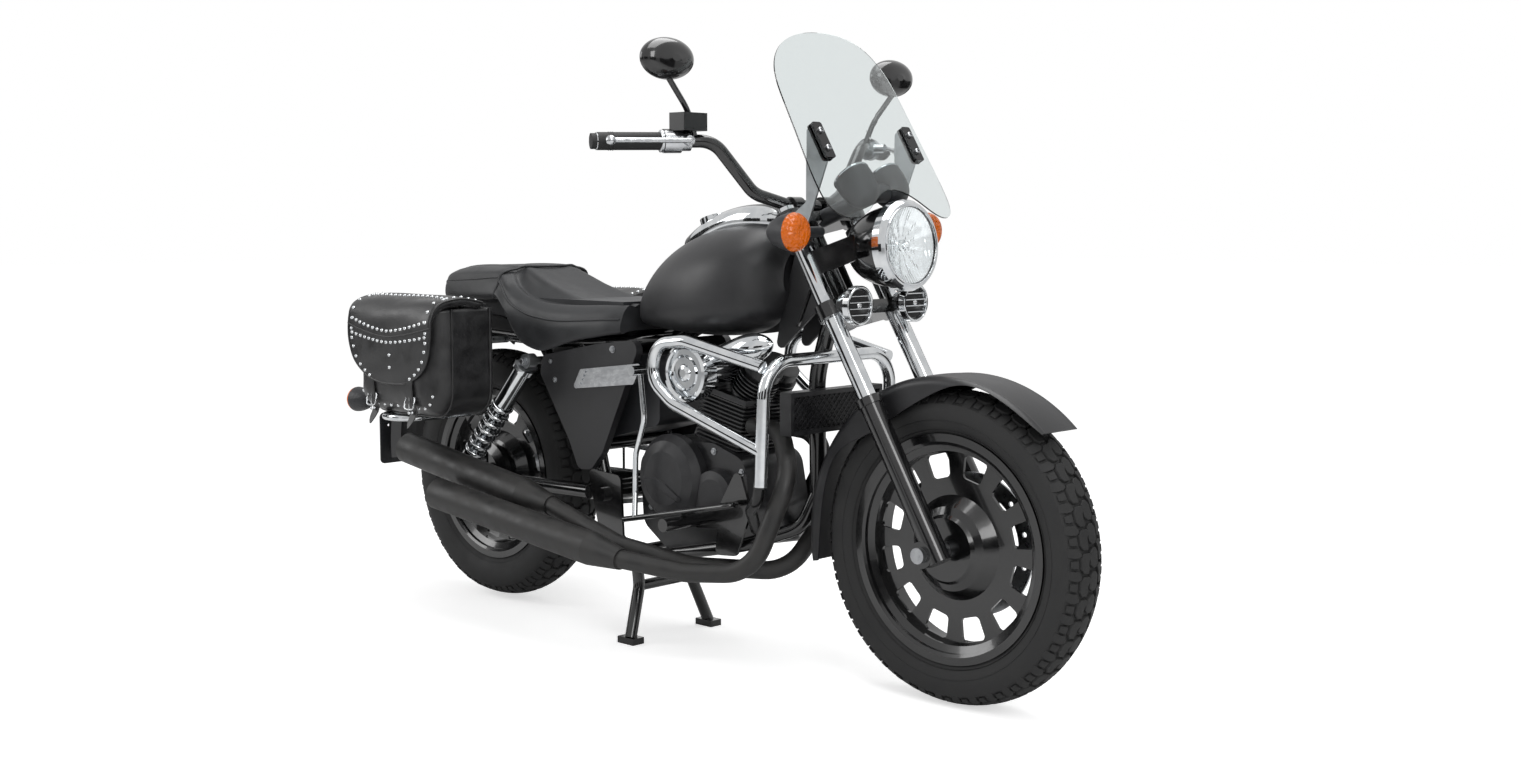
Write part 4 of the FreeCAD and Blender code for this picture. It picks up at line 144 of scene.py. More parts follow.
soft_boxes = {"top_box": ((0.3, 0.2, 3.2), (0.0, 0.0, 0.5), 3.0, 1.6, 55),
              "front_box": ((3.2, -1.6, 2.2), (0.4, 0.0, 0.5), 1.2, 2.0, 38),
              "rear_box": ((-2.8, -2.4, 2.0), (-0.2, 0.0, 0.5), 1.4, 2.0, 30)}
for name, (place, target, width, height, watts) in soft_boxes.items():
    data = bpy.data.lights.new(name, "AREA")
    data.shape = "RECTANGLE"
    data.size, data.size_y, data.energy = width, height, watts
    aimed(bpy.data.objects.new(name, data), place, target)
print("soft boxes", len(soft_boxes))


# %% Black cards and floor
def flat_sheet(name, width, height, material):
    """A flat sheet that belongs to the studio and not to the machine."""
    w, h = width / 2, height / 2
    mesh = bpy.data.meshes.new(name)
    mesh.from_pydata([(-w, -h, 0), (w, -h, 0), (w, h, 0), (-w, h, 0)], [], [(0, 1, 2, 3)])
    mesh.materials.append(material)
    return bpy.data.objects.new(name, mesh)


card_count, card_distance, card_height, machine = 8, 3.6, 0.75, (0.1, 0, 0.6)
cloth = bpy.data.materials.new("black_card")
cloth.use_nodes = True
cloth_shader = cloth.node_tree.nodes["Principled BSDF"].inputs
cloth_shader["Base Color"].default_value = (0.01, 0.01, 0.01, 1)
cloth_shader["Roughness"].default_value = 0.9
for number in range(card_count):
    turn = math.radians(20 + 360 / card_count * number)
    card = flat_sheet("dark_card_%d" % number, 1.9, 1.0, cloth)
    card.visible_camera = card.visible_shadow = card.visible_diffuse = card.visible_transmission = False
    aimed(card, (card_distance * math.cos(turn), card_distance * math.sin(turn), card_height), machine)
    card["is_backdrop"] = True

paper = bpy.data.materials.new("pale_paper_floor")
paper.use_nodes = True
tree = paper.node_tree
tree.nodes.clear()
path, seen = looked_at(tree)
dull = add_node(tree, "ShaderNodeBsdfDiffuse", {"Color": (0.86, 0.86, 0.86, 1)})
glow = add_node(tree, "ShaderNodeEmission", {"Color": white, "Strength": 0.58})
both = add_node(tree, "ShaderNodeAddShader", {0: dull.outputs[0], 1: glow.outputs[0]})
mixed = add_node(tree, "ShaderNodeMixShader", {0: seen, 1: dull.outputs[0], 2: both.outputs[0]})
add_node(tree, "ShaderNodeOutputMaterial", {"Surface": mixed.outputs[0]})
floor = flat_sheet("floor", 60, 60, paper)
scene.collection.objects.link(floor)
floor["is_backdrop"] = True
print("black cards", card_count, "and a floor")

# %% [markdown]
# Colours are written as the hex values that a colour picker shows. Those are sRGB, and Blender's shaders reckon
# in linear light, so one function turns them over. A finish starts as one Principled shader with the metallic,
# roughness and IOR of its real material, and then gets the unevenness that its surface has: every point's place
# in the machine, in metres, drives the pattern, so its scale is real.

# %% Colour and the bare finish
finishes = {}


def linear(colour):
    values = [int(colour[i:i + 2], 16) / 255 for i in (1, 3, 5)]
    return tuple(v / 12.92 if v <= 0.04045 else ((v + 0.055) / 1.055) ** 2.4 for v in values) + (1.0,)


def finish(name, colour, roughness, metallic=0.0, ior=1.5, coat=0.0, coat_roughness=0.1, transmission=0.0):
    """A new material with one Principled shader. Returns its node tree, its shader and the place in metres."""
    made = bpy.data.materials.new(name)
    made.use_nodes = True
    made.diffuse_color = linear(colour)
    tree = made.node_tree
    shader = tree.nodes["Principled BSDF"]
    values = {"Base Color": linear(colour), "Roughness": roughness, "Metallic": metallic, "IOR": ior,
              "Coat Weight": coat, "Coat Roughness": coat_roughness, "Transmission Weight": transmission}
    for socket, value in values.items():
        shader.inputs[socket].default_value = value
    finishes[name] = made
    return tree, shader, add_node(tree, "ShaderNodeTexCoord").outputs["Object"]


print("black 50 %", [round(v, 3) for v in linear("#808080")[:3]])


# %% Wandering tone and raised grain
def uneven(tree, shader, place, colours, size_mm, roughness):
    """The colour wanders between two tones and the roughness between two values, in patches of size_mm."""
    patches = add_node(tree, "ShaderNodeTexNoise", {"Vector": place, "Scale": 1000 / size_mm, "Detail": 4.0}).outputs[0]
    spread = add_node(tree, "ShaderNodeMapRange", {0: patches, 1: 0.35, 2: 0.65, 3: 0.0, 4: 1.0})
    tone = add_node(tree, "ShaderNodeMix", {0: spread.outputs[0], 6: linear(colours[0]), 7: linear(colours[1])},
                    data_type="RGBA")
    tree.links.new(tone.outputs[2], shader.inputs["Base Color"])
    dull = add_node(tree, "ShaderNodeMapRange", {0: patches, 1: 0.35, 2: 0.65, 3: roughness[0], 4: roughness[1]})
    tree.links.new(dull.outputs[0], shader.inputs["Roughness"])


def relief(tree, shader, height, depth_mm, strength=1.0, before=None):
    """Turns a height pattern into bump of depth_mm, on top of an earlier one."""
    inputs = {"Height": height, "Distance": depth_mm / 1000, "Strength": strength}
    if before:
        inputs["Normal"] = before
    bump = add_node(tree, "ShaderNodeBump", inputs)
    tree.links.new(bump.outputs[0], shader.inputs["Normal"])
    return bump.outputs[0]


def surface(name, colour, roughness, tones=None, patch_mm=0, wander=None, grain=None, **settings):
    """A finish with its wandering tone and roughness, and a grain of (lump size in mm, depth in mm, strength)."""
    tree, shader, place = finish(name, colour, roughness, **settings)
    if tones:
        uneven(tree, shader, place, tones, patch_mm, wander)
    if grain:
        lumps = add_node(tree, "ShaderNodeTexNoise", {"Vector": place, "Scale": 1000 / grain[0], "Detail": 2.0})
        relief(tree, shader, lumps.outputs[0], *grain[1:])
    return tree, shader, place


print("a pattern is scaled by its size in mm")


# %% [markdown]
# Some CAD nodes carry two finishes, as a chromed bar with a black foot does. A node's mesh stays as it is, so the
# border between the finishes is drawn by the shader: a mask that is 1 on one side of a plane or near a point.

# %% Masks for two finishes on one piece
border = 0.6 * mm


def beyond(tree, place, direction, level):
    """1 where a place lies further along direction than level."""
    along = add_node(tree, "ShaderNodeVectorMath", {0: place, 1: direction}, operation="DOT_PRODUCT").outputs["Value"]
    return add_node(tree, "ShaderNodeMapRange", {0: along, 1: level - border, 2: level + border, 3: 0.0,
                                                 4: 1.0}).outputs[0]


def near(tree, place, point, radius, keep):
    """1 within radius of a point, measured only along the axes that keep is 1 for."""
    flat = add_node(tree, "ShaderNodeVectorMath", {0: place, 1: keep}, operation="MULTIPLY").outputs[0]
    centre = tuple(p * k for p, k in zip(point, keep))
    far = add_node(tree, "ShaderNodeVectorMath", {0: flat, 1: centre}, operation="DISTANCE").outputs["Value"]
    return add_node(tree, "ShaderNodeMapRange", {0: far, 1: radius - border, 2: radius + border, 3: 1.0,
                                                 4: 0.0}).outputs[0]


def two_tone(tree, shader, mask, colour, roughness, metallic):
    """Where the mask is 1, a second colour, roughness and metallic show on the same shader."""
    for name, value, kind, index, result in (("Base Color", linear(colour), "RGBA", 6, 2),
                                             ("Roughness", roughness, "FLOAT", 2, 0),
                                             ("Metallic", metallic, "FLOAT", 2, 0)):
        socket = shader.inputs[name]
        first = socket.links[0].from_socket if socket.links else socket.default_value
        if kind == "RGBA" and not socket.links:
            first = tuple(first)
        mix = add_node(tree, "ShaderNodeMix", {0: mask, index: first, index + 1: value}, data_type=kind)
        tree.links.new(mix.outputs[result], socket)


print("a border between two finishes is mm wide:", 2 * border / mm)

# %% [markdown]
# Satin black acrylic paint is sprayed on pressed steel: tank, fenders and covers. Its matting agent leaves a
# wide soft highlight, and a faint ripple of 6 mm, called orange peel, bends the edges of what it mirrors.
# Powder coat is baked, and levels into a smooth film with a slight ripple. The exhausts have heatproof silicone
# paint, dusty and dull.

# %% Black paints
surface("satin_black_paint", "#1F1F21", 0.44, ("#1C1C1E", "#242426"), 60, (0.40, 0.48), (6, 0.05, 0.6),
        coat=0.08, coat_roughness=0.38)
surface("gloss_black_powder_coat", "#0E0E0F", 0.18, ("#0C0C0D", "#121213"), 40, (0.15, 0.24), (4, 0.03, 0.5),
        coat=0.7, coat_roughness=0.06)
surface("heatproof_satin_black", "#242424", 0.5, ("#1F1F1F", "#2B2A29"), 35, (0.42, 0.6), (0.8, 0.03, 0.5))
print("black paints", len(finishes))


# %% [markdown]
# Chrome plate on steel tube mirrors its surroundings almost whole. Only faint polishing haze is drawn, as a
# roughness that wanders in patches of 25 mm, so that long bars don't look like computer chrome. Zinc plate is
# duller and blotched by its bath, and polished aluminium keeps the fine marks of the mop.

# %% Chrome plate, zinc plate and alloy
def chrome(name):
    return surface(name, "#D6D8DA", 0.06, ("#CDD0D3", "#DFE1E2"), 25, (0.04, 0.11), metallic=1.0)


def aluminium(name):
    return surface(name, "#C9CBCD", 0.2, ("#BEC0C3", "#D2D4D6"), 15, (0.15, 0.27), metallic=1.0)


chrome("chrome_plated_steel")
surface("zinc_plated_steel", "#A9ABAD", 0.32, ("#9C9EA1", "#B4B6B8"), 12, (0.26, 0.40), metallic=1.0)
aluminium("polished_aluminium")
print("bare metals", 3)

# %% [markdown]
# These pieces have two finishes. The crash bars are chromed down to their feet, the console has a black strip
# between chrome flanks, the levers are polished on black switch housings, the screen's clamp plates are black on
# bare arms, and each shock absorber hangs in a plain cast eye.

# %% Pieces with two finishes
foot_top, pot_foot, plate_lead = 0.398, 1.0795, 0.1836
strip_half, cap_radius, eye_radius = 31 * mm, 39 * mm, 23 * mm

tree, shader, place = chrome("chromed_bar_with_black_foot")
two_tone(tree, shader, beyond(tree, place, (0, 0, -1), -foot_top), "#101011", 0.22, 0.0)

tree, shader, place = chrome("chromed_console_with_black_strip")
either_side = add_node(tree, "ShaderNodeVectorMath", {0: place}, operation="ABSOLUTE").outputs[0]
filler_cap = near(tree, place, at(0.737, 0, 0), cap_radius, (1, 1, 0))
strip = add_node(tree, "ShaderNodeMath", {0: beyond(tree, either_side, (0, -1, 0), -strip_half), 1: filler_cap},
                 operation="SUBTRACT", use_clamp=True)
two_tone(tree, shader, strip.outputs[0], "#141415", 0.24, 0.0)

tree, shader, place = chrome("chromed_shock_with_cast_eye")
two_tone(tree, shader, near(tree, place, at(0.279, 0, 0.597), eye_radius, (1, 0, 1)), "#A4A6A8", 0.42, 1.0)

tree, shader, place = aluminium("polished_lever_on_black_housing")
two_tone(tree, shader, beyond(tree, place, (0, 0, 1), pot_foot), "#141415", 0.30, 0.0)

front_axle, rear_axle = at(1.365, 0, 0.299), at(0, 0, 0.305)
rake = math.radians(31)
fork_lead = Vector((math.cos(rake), 0, math.sin(rake)))
fork_rise = Vector((-math.sin(rake), 0, math.cos(rake)))


def in_fork(lead, y, rise):
    """A point given from the front axle, ahead of the fork's line and up along it."""
    return front_axle + Vector((0, y, 0)) + fork_lead * lead + fork_rise * rise


tree, shader, place = surface("bare_arm_with_black_plates", "#9EA2A4", 0.42, ("#94989A", "#A8ACAE"), 20,
                              (0.38, 0.50), metallic=1.0)
ahead = beyond(tree, place, tuple(fork_lead), in_fork(plate_lead, 0, 0).dot(fork_lead))
two_tone(tree, shader, ahead, "#111112", 0.20, 0.0)
print("two finishes on", 5, "pieces")

# %% [markdown]
# The engine's cases are cast aluminium, with the coarse skin of sand casting under a black coat, and its covers
# have a greyer satin coat. Moulded ABS has the fine texture of its spark-eroded mould. Tyre rubber is a compound
# with carbon black, dull and slightly dusty, and the grips are softer and darker.

# %% Castings, plastic and rubber
surface("black_coated_cast_aluminium", "#1B1B1D", 0.36, ("#161618", "#242426"), 30, (0.28, 0.46), (1.6, 0.10, 0.7),
        coat=0.15, coat_roughness=0.25)
surface("satin_coated_engine_cover", "#29292B", 0.44, ("#252527", "#2F2F31"), 30, (0.40, 0.50), (1.2, 0.06, 0.6))
surface("moulded_abs_plastic", "#26272A", 0.46, ("#232427", "#2B2C2F"), 50, (0.42, 0.52), (0.8, 0.04, 0.6))
surface("tyre_rubber", "#1E1E1F", 0.72, ("#181819", "#272727"), 45, (0.62, 0.82), (1.5, 0.10, 0.6))
surface("moulded_rubber", "#151516", 0.62, grain=(0.8, 0.04, 0.7))
print("castings, plastic and rubber", 5)

# %% [markdown]
# Saddle leather has pebbles about 2.4 mm across, drawn with cells whose borders sink, and creases between them.
# A vinyl seat cover has the same pebbles at 1.6 mm, pressed by a roller, so they are more even and duller.

# %% Leather and vinyl
def pebbled(tree, shader, place, size_mm, randomness, depth_mm, strength, before=None):
    """Raises cells of size_mm whose borders sink by depth_mm."""
    cells = add_node(tree, "ShaderNodeTexVoronoi", {"Vector": place, "Scale": 1000 / size_mm,
                                                    "Randomness": randomness}, feature="SMOOTH_F1")
    relief(tree, shader, cells.outputs["Distance"], -depth_mm, strength, before)


tree, shader, place = surface("black_saddle_leather", "#1B1B1C", 0.42, ("#151516", "#242425"), 30, (0.34, 0.52),
                              coat=0.15, coat_roughness=0.3)
creases = add_node(tree, "ShaderNodeTexNoise", {"Vector": place, "Scale": 1000 / 9, "Detail": 5.0})
creased = relief(tree, shader, creases.outputs[0], 0.5, 0.5)
pebbled(tree, shader, place, 2.4, 1.0, 0.25, 0.55, creased)

tree, shader, place = surface("embossed_seat_vinyl", "#232426", 0.5, ("#1F2022", "#292A2C"), 40, (0.44, 0.56))
pebbled(tree, shader, place, 1.6, 0.9, 0.15, 0.5)
print("leather and vinyl", 2)

# %% [markdown]
# The screen is a clear acrylic sheet, bent warm. Its IOR is 1.49, and a faint grey in the sheet shows where it
# is seen edge on. The headlamp's glass is plain, and the bright reflector behind it has the upright flutes that
# spread the beam. Lenses are tinted acrylic, moulded with small facets.

# %% Clear and tinted
finish("clear_acrylic_sheet", "#DDE3E3", 0.02, ior=1.49, transmission=1.0)
finish("pressed_lamp_glass", "#FAFCFC", 0.03, ior=1.52, transmission=1.0)

tree, shader, place = finish("vapour_coated_reflector", "#E6E8EA", 0.10, metallic=1.0)
flutes = add_node(tree, "ShaderNodeTexWave", {"Vector": place, "Scale": 1000 / 7 / 6.2832 * 2, "Distortion": 0.0},
                  wave_type="BANDS", bands_direction="Y")
relief(tree, shader, flutes.outputs[0], 0.8, 0.5)

surface("silvered_mirror_glass", "#DDE2E4", 0.02, ("#DADFE1", "#E2E6E8"), 60, (0.015, 0.03), metallic=1.0)
surface("printed_dial_face", "#121213", 0.5, grain=(0.6, 0.01, 0.4))
surface("white_dial_print", "#E9E9E6", 0.6, ("#E4E4E1", "#EFEFEC"), 5, (0.55, 0.65))


def lens(name, colour, transmission, facet_mm, depth_mm, strength):
    tree, shader, place = finish(name, colour, 0.12, ior=1.49, transmission=transmission)
    facets = add_node(tree, "ShaderNodeTexVoronoi", {"Vector": place, "Scale": 1000 / facet_mm}, feature="F1")
    relief(tree, shader, facets.outputs["Distance"], depth_mm, strength)
    return tree, shader, place


lens("amber_acrylic", "#FF7A0A", 0.35, 7, 2.5, 1.0)
lens("red_acrylic", "#9E0C10", 0.3, 6, 1.0, 0.7)
tree, shader, place = lens("amber_lens_on_black_body", "#FF7A0A", 0.0, 7, 1.0, 0.4)
lens_front = at(-0.284 + 0.0078, 0, 0).x
two_tone(tree, shader, beyond(tree, place, (1, 0, 0), lens_front), "#26272A", 0.46, 0.0)
print("finishes", len(finishes))

# %% [markdown]
# Every CAD node gets its finish by name. The meshes come with hard facets, so a modifier smooths the normals
# over edges flatter than 30 degrees and leaves the real corners sharp. It moves no vertex.

# %% Finishes for the CAD nodes
finish_of = {
    "satin_black_paint": ["fuel_tank", "front_fender", "rear_fender", "side_covers"],
    "gloss_black_powder_coat": ["frame_tubes", "swingarm", "pivot_plates", "fork_legs", "yokes", "handlebar",
                                "front_wheel_disc", "rear_wheel_disc", "headlamp_shell", "footrests",
                                "chain_guard", "mirrors", "centre_stand", "side_stand", "rear_brake"],
    "heatproof_satin_black": ["exhausts"],
    "chrome_plated_steel": ["stanchions", "air_cleaner", "headlamp_bezel", "horns", "brake_lever"],
    "chromed_bar_with_black_foot": ["guard_rails"],
    "chromed_console_with_black_strip": ["console"],
    "chromed_shock_with_cast_eye": ["shocks"],
    "polished_lever_on_black_housing": ["controls"],
    "bare_arm_with_black_plates": ["screen_mounts"],
    "zinc_plated_steel": ["front_axle", "rear_axle", "bag_carriers", "chain", "rear_sprocket", "front_brake_disc"],
    "polished_aluminium": ["vent_plates"],
    "black_coated_cast_aluminium": ["crankcase", "cylinders", "front_caliper", "cooler"],
    "satin_coated_engine_cover": ["engine_covers"],
    "moulded_abs_plastic": ["air_box", "plate_holder", "front_indicators", "gauges"],
    "moulded_rubber": ["grips"],
    "tyre_rubber": ["front_tyre", "rear_tyre"],
    "black_saddle_leather": ["saddlebags", "bag_lid_right", "bag_lid_left"],
    "embossed_seat_vinyl": ["seat"],
    "clear_acrylic_sheet": ["windscreen"],
    "pressed_lamp_glass": ["headlamp_lens"],
    "amber_acrylic": ["front_indicator_lenses"],
    "amber_lens_on_black_body": ["rear_indicators"],
    "red_acrylic": ["tail_lamp"],
}

def smooth(obj, degrees=30):
    """Smooth normals with sharp real corners."""
    obj.data.shade_smooth()
    obj.modifiers.new("corners", "EDGE_SPLIT").split_angle = math.radians(degrees)


for name, members in finish_of.items():
    for node in members:
        if node in nodes:
            nodes[node].data.materials.clear()
            nodes[node].data.materials.append(finishes[name])
            smooth(nodes[node])
bare = sorted(set(nodes) - {n for members in finish_of.values() for n in members})
print("nodes without a finish", bare)

# %% [markdown]
# Everything added from here on is one of a few forms: rings of points joined into a skin, a profile turned
# round an axis, a round bar along a line, or a smooth curve through rows of numbers. Each gets one function.


# %% Rings, fans and pieces
def join(bm, rings, closed=True, wrapped=False):
    """Faces between each ring and the next. A closed ring ends where it starts. Wrapped, the last joins the first."""
    for here, there in zip(rings, rings[1:] + (rings[:1] if wrapped else [])):
        for i in range(len(here) if closed else len(here) - 1):
            k = (i + 1) % len(here)
            bm.faces.new((here[i], here[k], there[k], there[i]))


def fan(bm, hub, ring):
    """Triangles from one point to a ring round it."""
    for i in range(len(ring)):
        bm.faces.new((hub, ring[i], ring[(i + 1) % len(ring)]))


def new_piece(name, bm, material, body, degrees=30):
    """A finished skin becomes a piece: normals outward, a finish, smooth over edges flatter than degrees."""
    bmesh.ops.recalc_face_normals(bm, faces=bm.faces)
    mesh = bpy.data.meshes.new(name)
    bm.to_mesh(mesh)
    bm.free()
    mesh.materials.append(finishes[material])
    obj = bpy.data.objects.new(name, mesh)
    scene.collection.objects.link(obj)
    smooth(obj, degrees)
    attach(obj, body)
    return obj


def tube(name, points, radius, material, body, cyclic=False):
    """A round bar, wire or piping on a smooth line along points."""
    curve = bpy.data.curves.new(name, "CURVE")
    curve.dimensions = "3D"
    curve.bevel_depth, curve.bevel_resolution, curve.resolution_u = radius, 3, 6
    curve.use_fill_caps = True
    spline = curve.splines.new("NURBS")
    spline.points.add(len(points) - 1)
    for point, value in zip(spline.points, points):
        point.co = (*value, 1)
    spline.order_u = 3
    spline.use_endpoint_u = not cyclic
    spline.use_cyclic_u = cyclic
    curve.materials.append(finishes[material])
    obj = bpy.data.objects.new(name, curve)
    scene.collection.objects.link(obj)
    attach(obj, body)


print("skins, fans and bars")


# %% Turned forms
def turn_into(bm, profile, centre, axis, steps=32, loop=False):
    """Turns a profile of (along, radius) round an axis through centre."""
    spin = Vector(axis).normalized().to_track_quat("Z", "Y").to_matrix()
    rings = []
    for along, radius in profile:
        angles = [2 * math.pi * i / steps for i in range(steps if radius > 1e-6 else 1)]
        rings.append([bm.verts.new(centre + spin @ Vector((radius * math.cos(a), radius * math.sin(a), along)))
                      for a in angles])
    for here, there in zip(rings, rings[1:] + (rings[:1] if loop else [])):
        for i in range(steps):
            k = (i + 1) % steps
            corners = (here[i % len(here)], here[k % len(here)], there[k % len(there)], there[i % len(there)])
            if len(set(corners)) > 2:
                bm.faces.new(list(dict.fromkeys(corners)))


def turned(name, profile, centre, axis, material, body, steps=48, loop=False):
    bm = bmesh.new()
    turn_into(bm, profile, centre, axis, steps, loop)
    return new_piece(name, bm, material, body, 35)


def ring_profile(along, radius, thick, sides=10):
    """The profile of a ring made of round wire."""
    angles = [2 * math.pi * i / sides for i in range(sides)]
    return [(along + thick * math.cos(a), radius + thick * math.sin(a)) for a in angles]


def dome(bm, centre, normal, radius=4.2 * mm, height=3.4 * mm):
    """A stud or a rivet: a low dome that stands on a surface."""
    angles = [math.pi / 2 * ring / 3 for ring in range(4)]
    turn_into(bm, [(height * math.cos(a), radius * math.sin(a)) for a in angles], centre, normal, 10)


print("turned pieces are round to", 48, "sides")


# %% Smooth rows and arcs
def flowing(rows, steps):
    """Rows of numbers with steps between each two, on a smooth curve through them all."""
    fine = []
    for i in range(len(rows) - 1):
        around = rows[max(i - 1, 0)], rows[i], rows[i + 1], rows[min(i + 2, len(rows) - 1)]
        for step in range(steps):
            t = step / steps
            fine.append(tuple(0.5 * (2 * b + (c - a) * t + (2 * a - 5 * b + 4 * c - d) * t * t
                                     + (3 * b - a - 3 * c + d) * t ** 3) for a, b, c, d in zip(*around)))
    return fine + [tuple(rows[-1])]


def arc_through(a, b, c, steps):
    """Points on the circle through three points of a plane, from a over b to c."""
    ax, ay, bx, by, cx, cy = *a, *b, *c
    d = 2 * (ax * (by - cy) + bx * (cy - ay) + cx * (ay - by))
    aa, bb, cc = ax * ax + ay * ay, bx * bx + by * by, cx * cx + cy * cy
    ux = (aa * (by - cy) + bb * (cy - ay) + cc * (ay - by)) / d
    uy = (aa * (cx - bx) + bb * (ax - cx) + cc * (bx - ax)) / d
    r = math.hypot(ax - ux, ay - uy)
    start, mid, end = (math.atan2(y - uy, x - ux) for x, y in (a, b, c))
    turn = (end - start) % (2 * math.pi)
    if (mid - start) % (2 * math.pi) > turn:
        turn -= 2 * math.pi
    angles = [start + turn * i / steps for i in range(steps + 1)]
    return [(ux + r * math.cos(angle), uy + r * math.sin(angle)) for angle in angles]


print("rows", len(flowing([(0, 0), (1, 1), (2, 0)], 4)))

# %% [markdown]
# A tyre is a carcass of revolution with blocks of rubber standing on it. The carcass is turned here from the
# same arcs as the CAD tyre, 6 mm lower under the tread, and each block is drawn flat, as length along the tread
# and distance from its middle, and then wrapped onto the crown. Blocks wrapped this way keep crisp edges, which
# bump on a smooth ring wouldn't give at the outline.

# %% The tread's blocks
tread_depth, crown_drop, tread_share = 6 * mm, 14 * mm, 0.80
# (along, across), as shares of a pitch and of the half tread. The first block stands in the middle, and the
# others, a row, a wing over the shoulder and a small one between two wings, have a mirror image half a pitch on.
tread_blocks = [
    [(0.06, -0.10), (0.22, -0.26), (0.72, -0.26), (0.90, -0.10), (0.90, 0.10), (0.72, 0.26), (0.22, 0.26),
     (0.06, 0.10)],
    [(0.34, 0.36), (0.84, 0.34), (1.08, 0.20), (1.20, 0.30), (1.20, 0.58), (1.02, 0.70), (0.54, 0.70), (0.34, 0.58)],
    [(0.02, 0.80), (0.10, 0.68), (0.22, 0.68), (0.46, 0.82), (0.46, 1.00), (0.50, 1.34), (0.10, 1.40), (0.02, 1.00)],
    [(0.58, 0.82), (0.92, 0.82), (0.92, 1.00), (0.90, 1.20), (0.62, 1.20), (0.58, 1.00)],
]
print("blocks in a pitch", 2 * len(tread_blocks) - 1)


# %% Tyres
def lathe(bm, profile, centre, steps):
    """Turns a closed profile of (radius, y) round the axle line through centre."""
    rings = []
    for i in range(steps):
        angle = 2 * math.pi * i / steps
        rings.append([bm.verts.new(centre + Vector((r * math.cos(angle), y, r * math.sin(angle)))) for r, y in profile])
    join(bm, rings, wrapped=True)


def tyre(name, node, axle, radius, width, flange, rim_width, pitches):
    half, shoulder = width / 2, width / 2 * tread_share
    bead, seat = rim_width / 2 - 5 * mm, flange - 15 * mm
    widest = (radius + flange) / 2
    side = arc_through((flange, -bead), (widest, -half), (radius - crown_drop, -shoulder), 12)
    crown = arc_through((radius - crown_drop, -shoulder), (radius, 0), (radius - crown_drop, shoulder), 12)
    flank = arc_through((radius - crown_drop, shoulder), (widest, half), (flange, bead), 100)
    inner = [(r - tread_depth, y) for r, y in crown[1:-1]]
    lower = side[:-2] + [(side[-2][0] - 2 * mm, side[-2][1] + 1.5 * mm)]
    upper = [(r, -y) for r, y in reversed(lower)]
    bm = bmesh.new()
    lathe(bm, [(seat, -bead)] + lower + inner + upper + [(seat, bead)], axle, 128)
    girth = 2 * math.pi * radius
    pitch = girth / pitches

    def wrap(along, across, sink=0.0):
        """A point along the tread and across it from the middle, past the shoulder down the side wall."""
        reach = abs(across)
        if reach <= shoulder:
            r, y = radius - crown_drop * (reach / shoulder) ** 2 - sink, reach
        else:
            step = min((reach - shoulder) / ((radius - flange) * 1.1) * 100, 99)
            r, y = flank[int(step)]
            r, y = r + 0.3 * mm - sink * 0.3, y + 0.3 * mm - sink
        angle = along / girth * 2 * math.pi
        return axle + Vector((r * math.cos(angle), math.copysign(y, across), r * math.sin(angle)))

    def block(points):
        """A block with a foot that stands in the carcass, an edge just under its top, and a bevel up to that."""
        centre = [sum(values) / len(points) for values in zip(*points)]

        def ring(share, sink):
            scaled = [[c + (p - c) * share for p, c in zip(point, centre)] for point in points]
            return [bm.verts.new(wrap(*place, sink)) for place in (points if share == 1 else scaled)]

        foot, edge, top = ring(1.04, tread_depth + 1 * mm), ring(1, 0.9 * mm), ring(0.93, 0.0)
        fan(bm, bm.verts.new(wrap(*centre)), top)
        join(bm, [foot, edge, top])

    for i in range(pitches):
        for number, shares in enumerate(tread_blocks):
            points = [(i * pitch + along * pitch, across * shoulder) for along, across in shares]
            block(points)
            if number > 0:
                block([(along + pitch / 2, -across) for along, across in reversed(points)])
    for y_side in (-1, 1):
        for r in (flange + 7 * mm, flange + 11 * mm, flange + 26 * mm):
            near_wall = min(side[:-1], key=lambda q: abs(q[0] - r))
            y = abs(near_wall[1]) * y_side
            foot = y - y_side * 1 * mm
            lathe(bm, [(r - 0.9 * mm, foot), (r, y + y_side * 0.8 * mm), (r + 0.9 * mm, foot)], axle, 96)
    obj = new_piece(name, bm, "tyre_rubber", node.replace("tyre", "wheel"))
    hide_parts(node)
    print(name, "faces", len(obj.data.polygons))


tyre("front_tyre_tread", "front_tyre", front_axle, 299 * mm, 108 * mm, 218 * mm, 86 * mm, 44)
tyre("rear_tyre_tread", "rear_tyre", rear_axle, 297 * mm, 122 * mm, 205 * mm, 94 * mm, 42)

# %% [markdown]
# The saddlebags are stiff leather sewn into a box that has lost its corners: the bottom and the outer edge are
# round, the panels bulge a little, and only the back panel stays flat against its carrier. A dense box whose
# points are pulled to a fixed distance from a smaller core gives that form in a few lines. Its wall gets its
# thickness from a modifier.

# %% Bag bodies
front, rear, floor_z, rim = 0.212, -0.100, 0.474, 0.716
inner, outer = 0.204, 0.366
lid_mid, lid_half = (front + rear) / 2, (front - rear) / 2 + 2 * mm
bag_round, bag_leather, lid_leather = 58 * mm, 4 * mm, 3.5 * mm
sides = ((-1, "right"), (1, "left"))


def thicken(obj, thickness):
    wall = obj.modifiers.new("leather", "SOLIDIFY")
    wall.thickness, wall.offset = thickness, -1


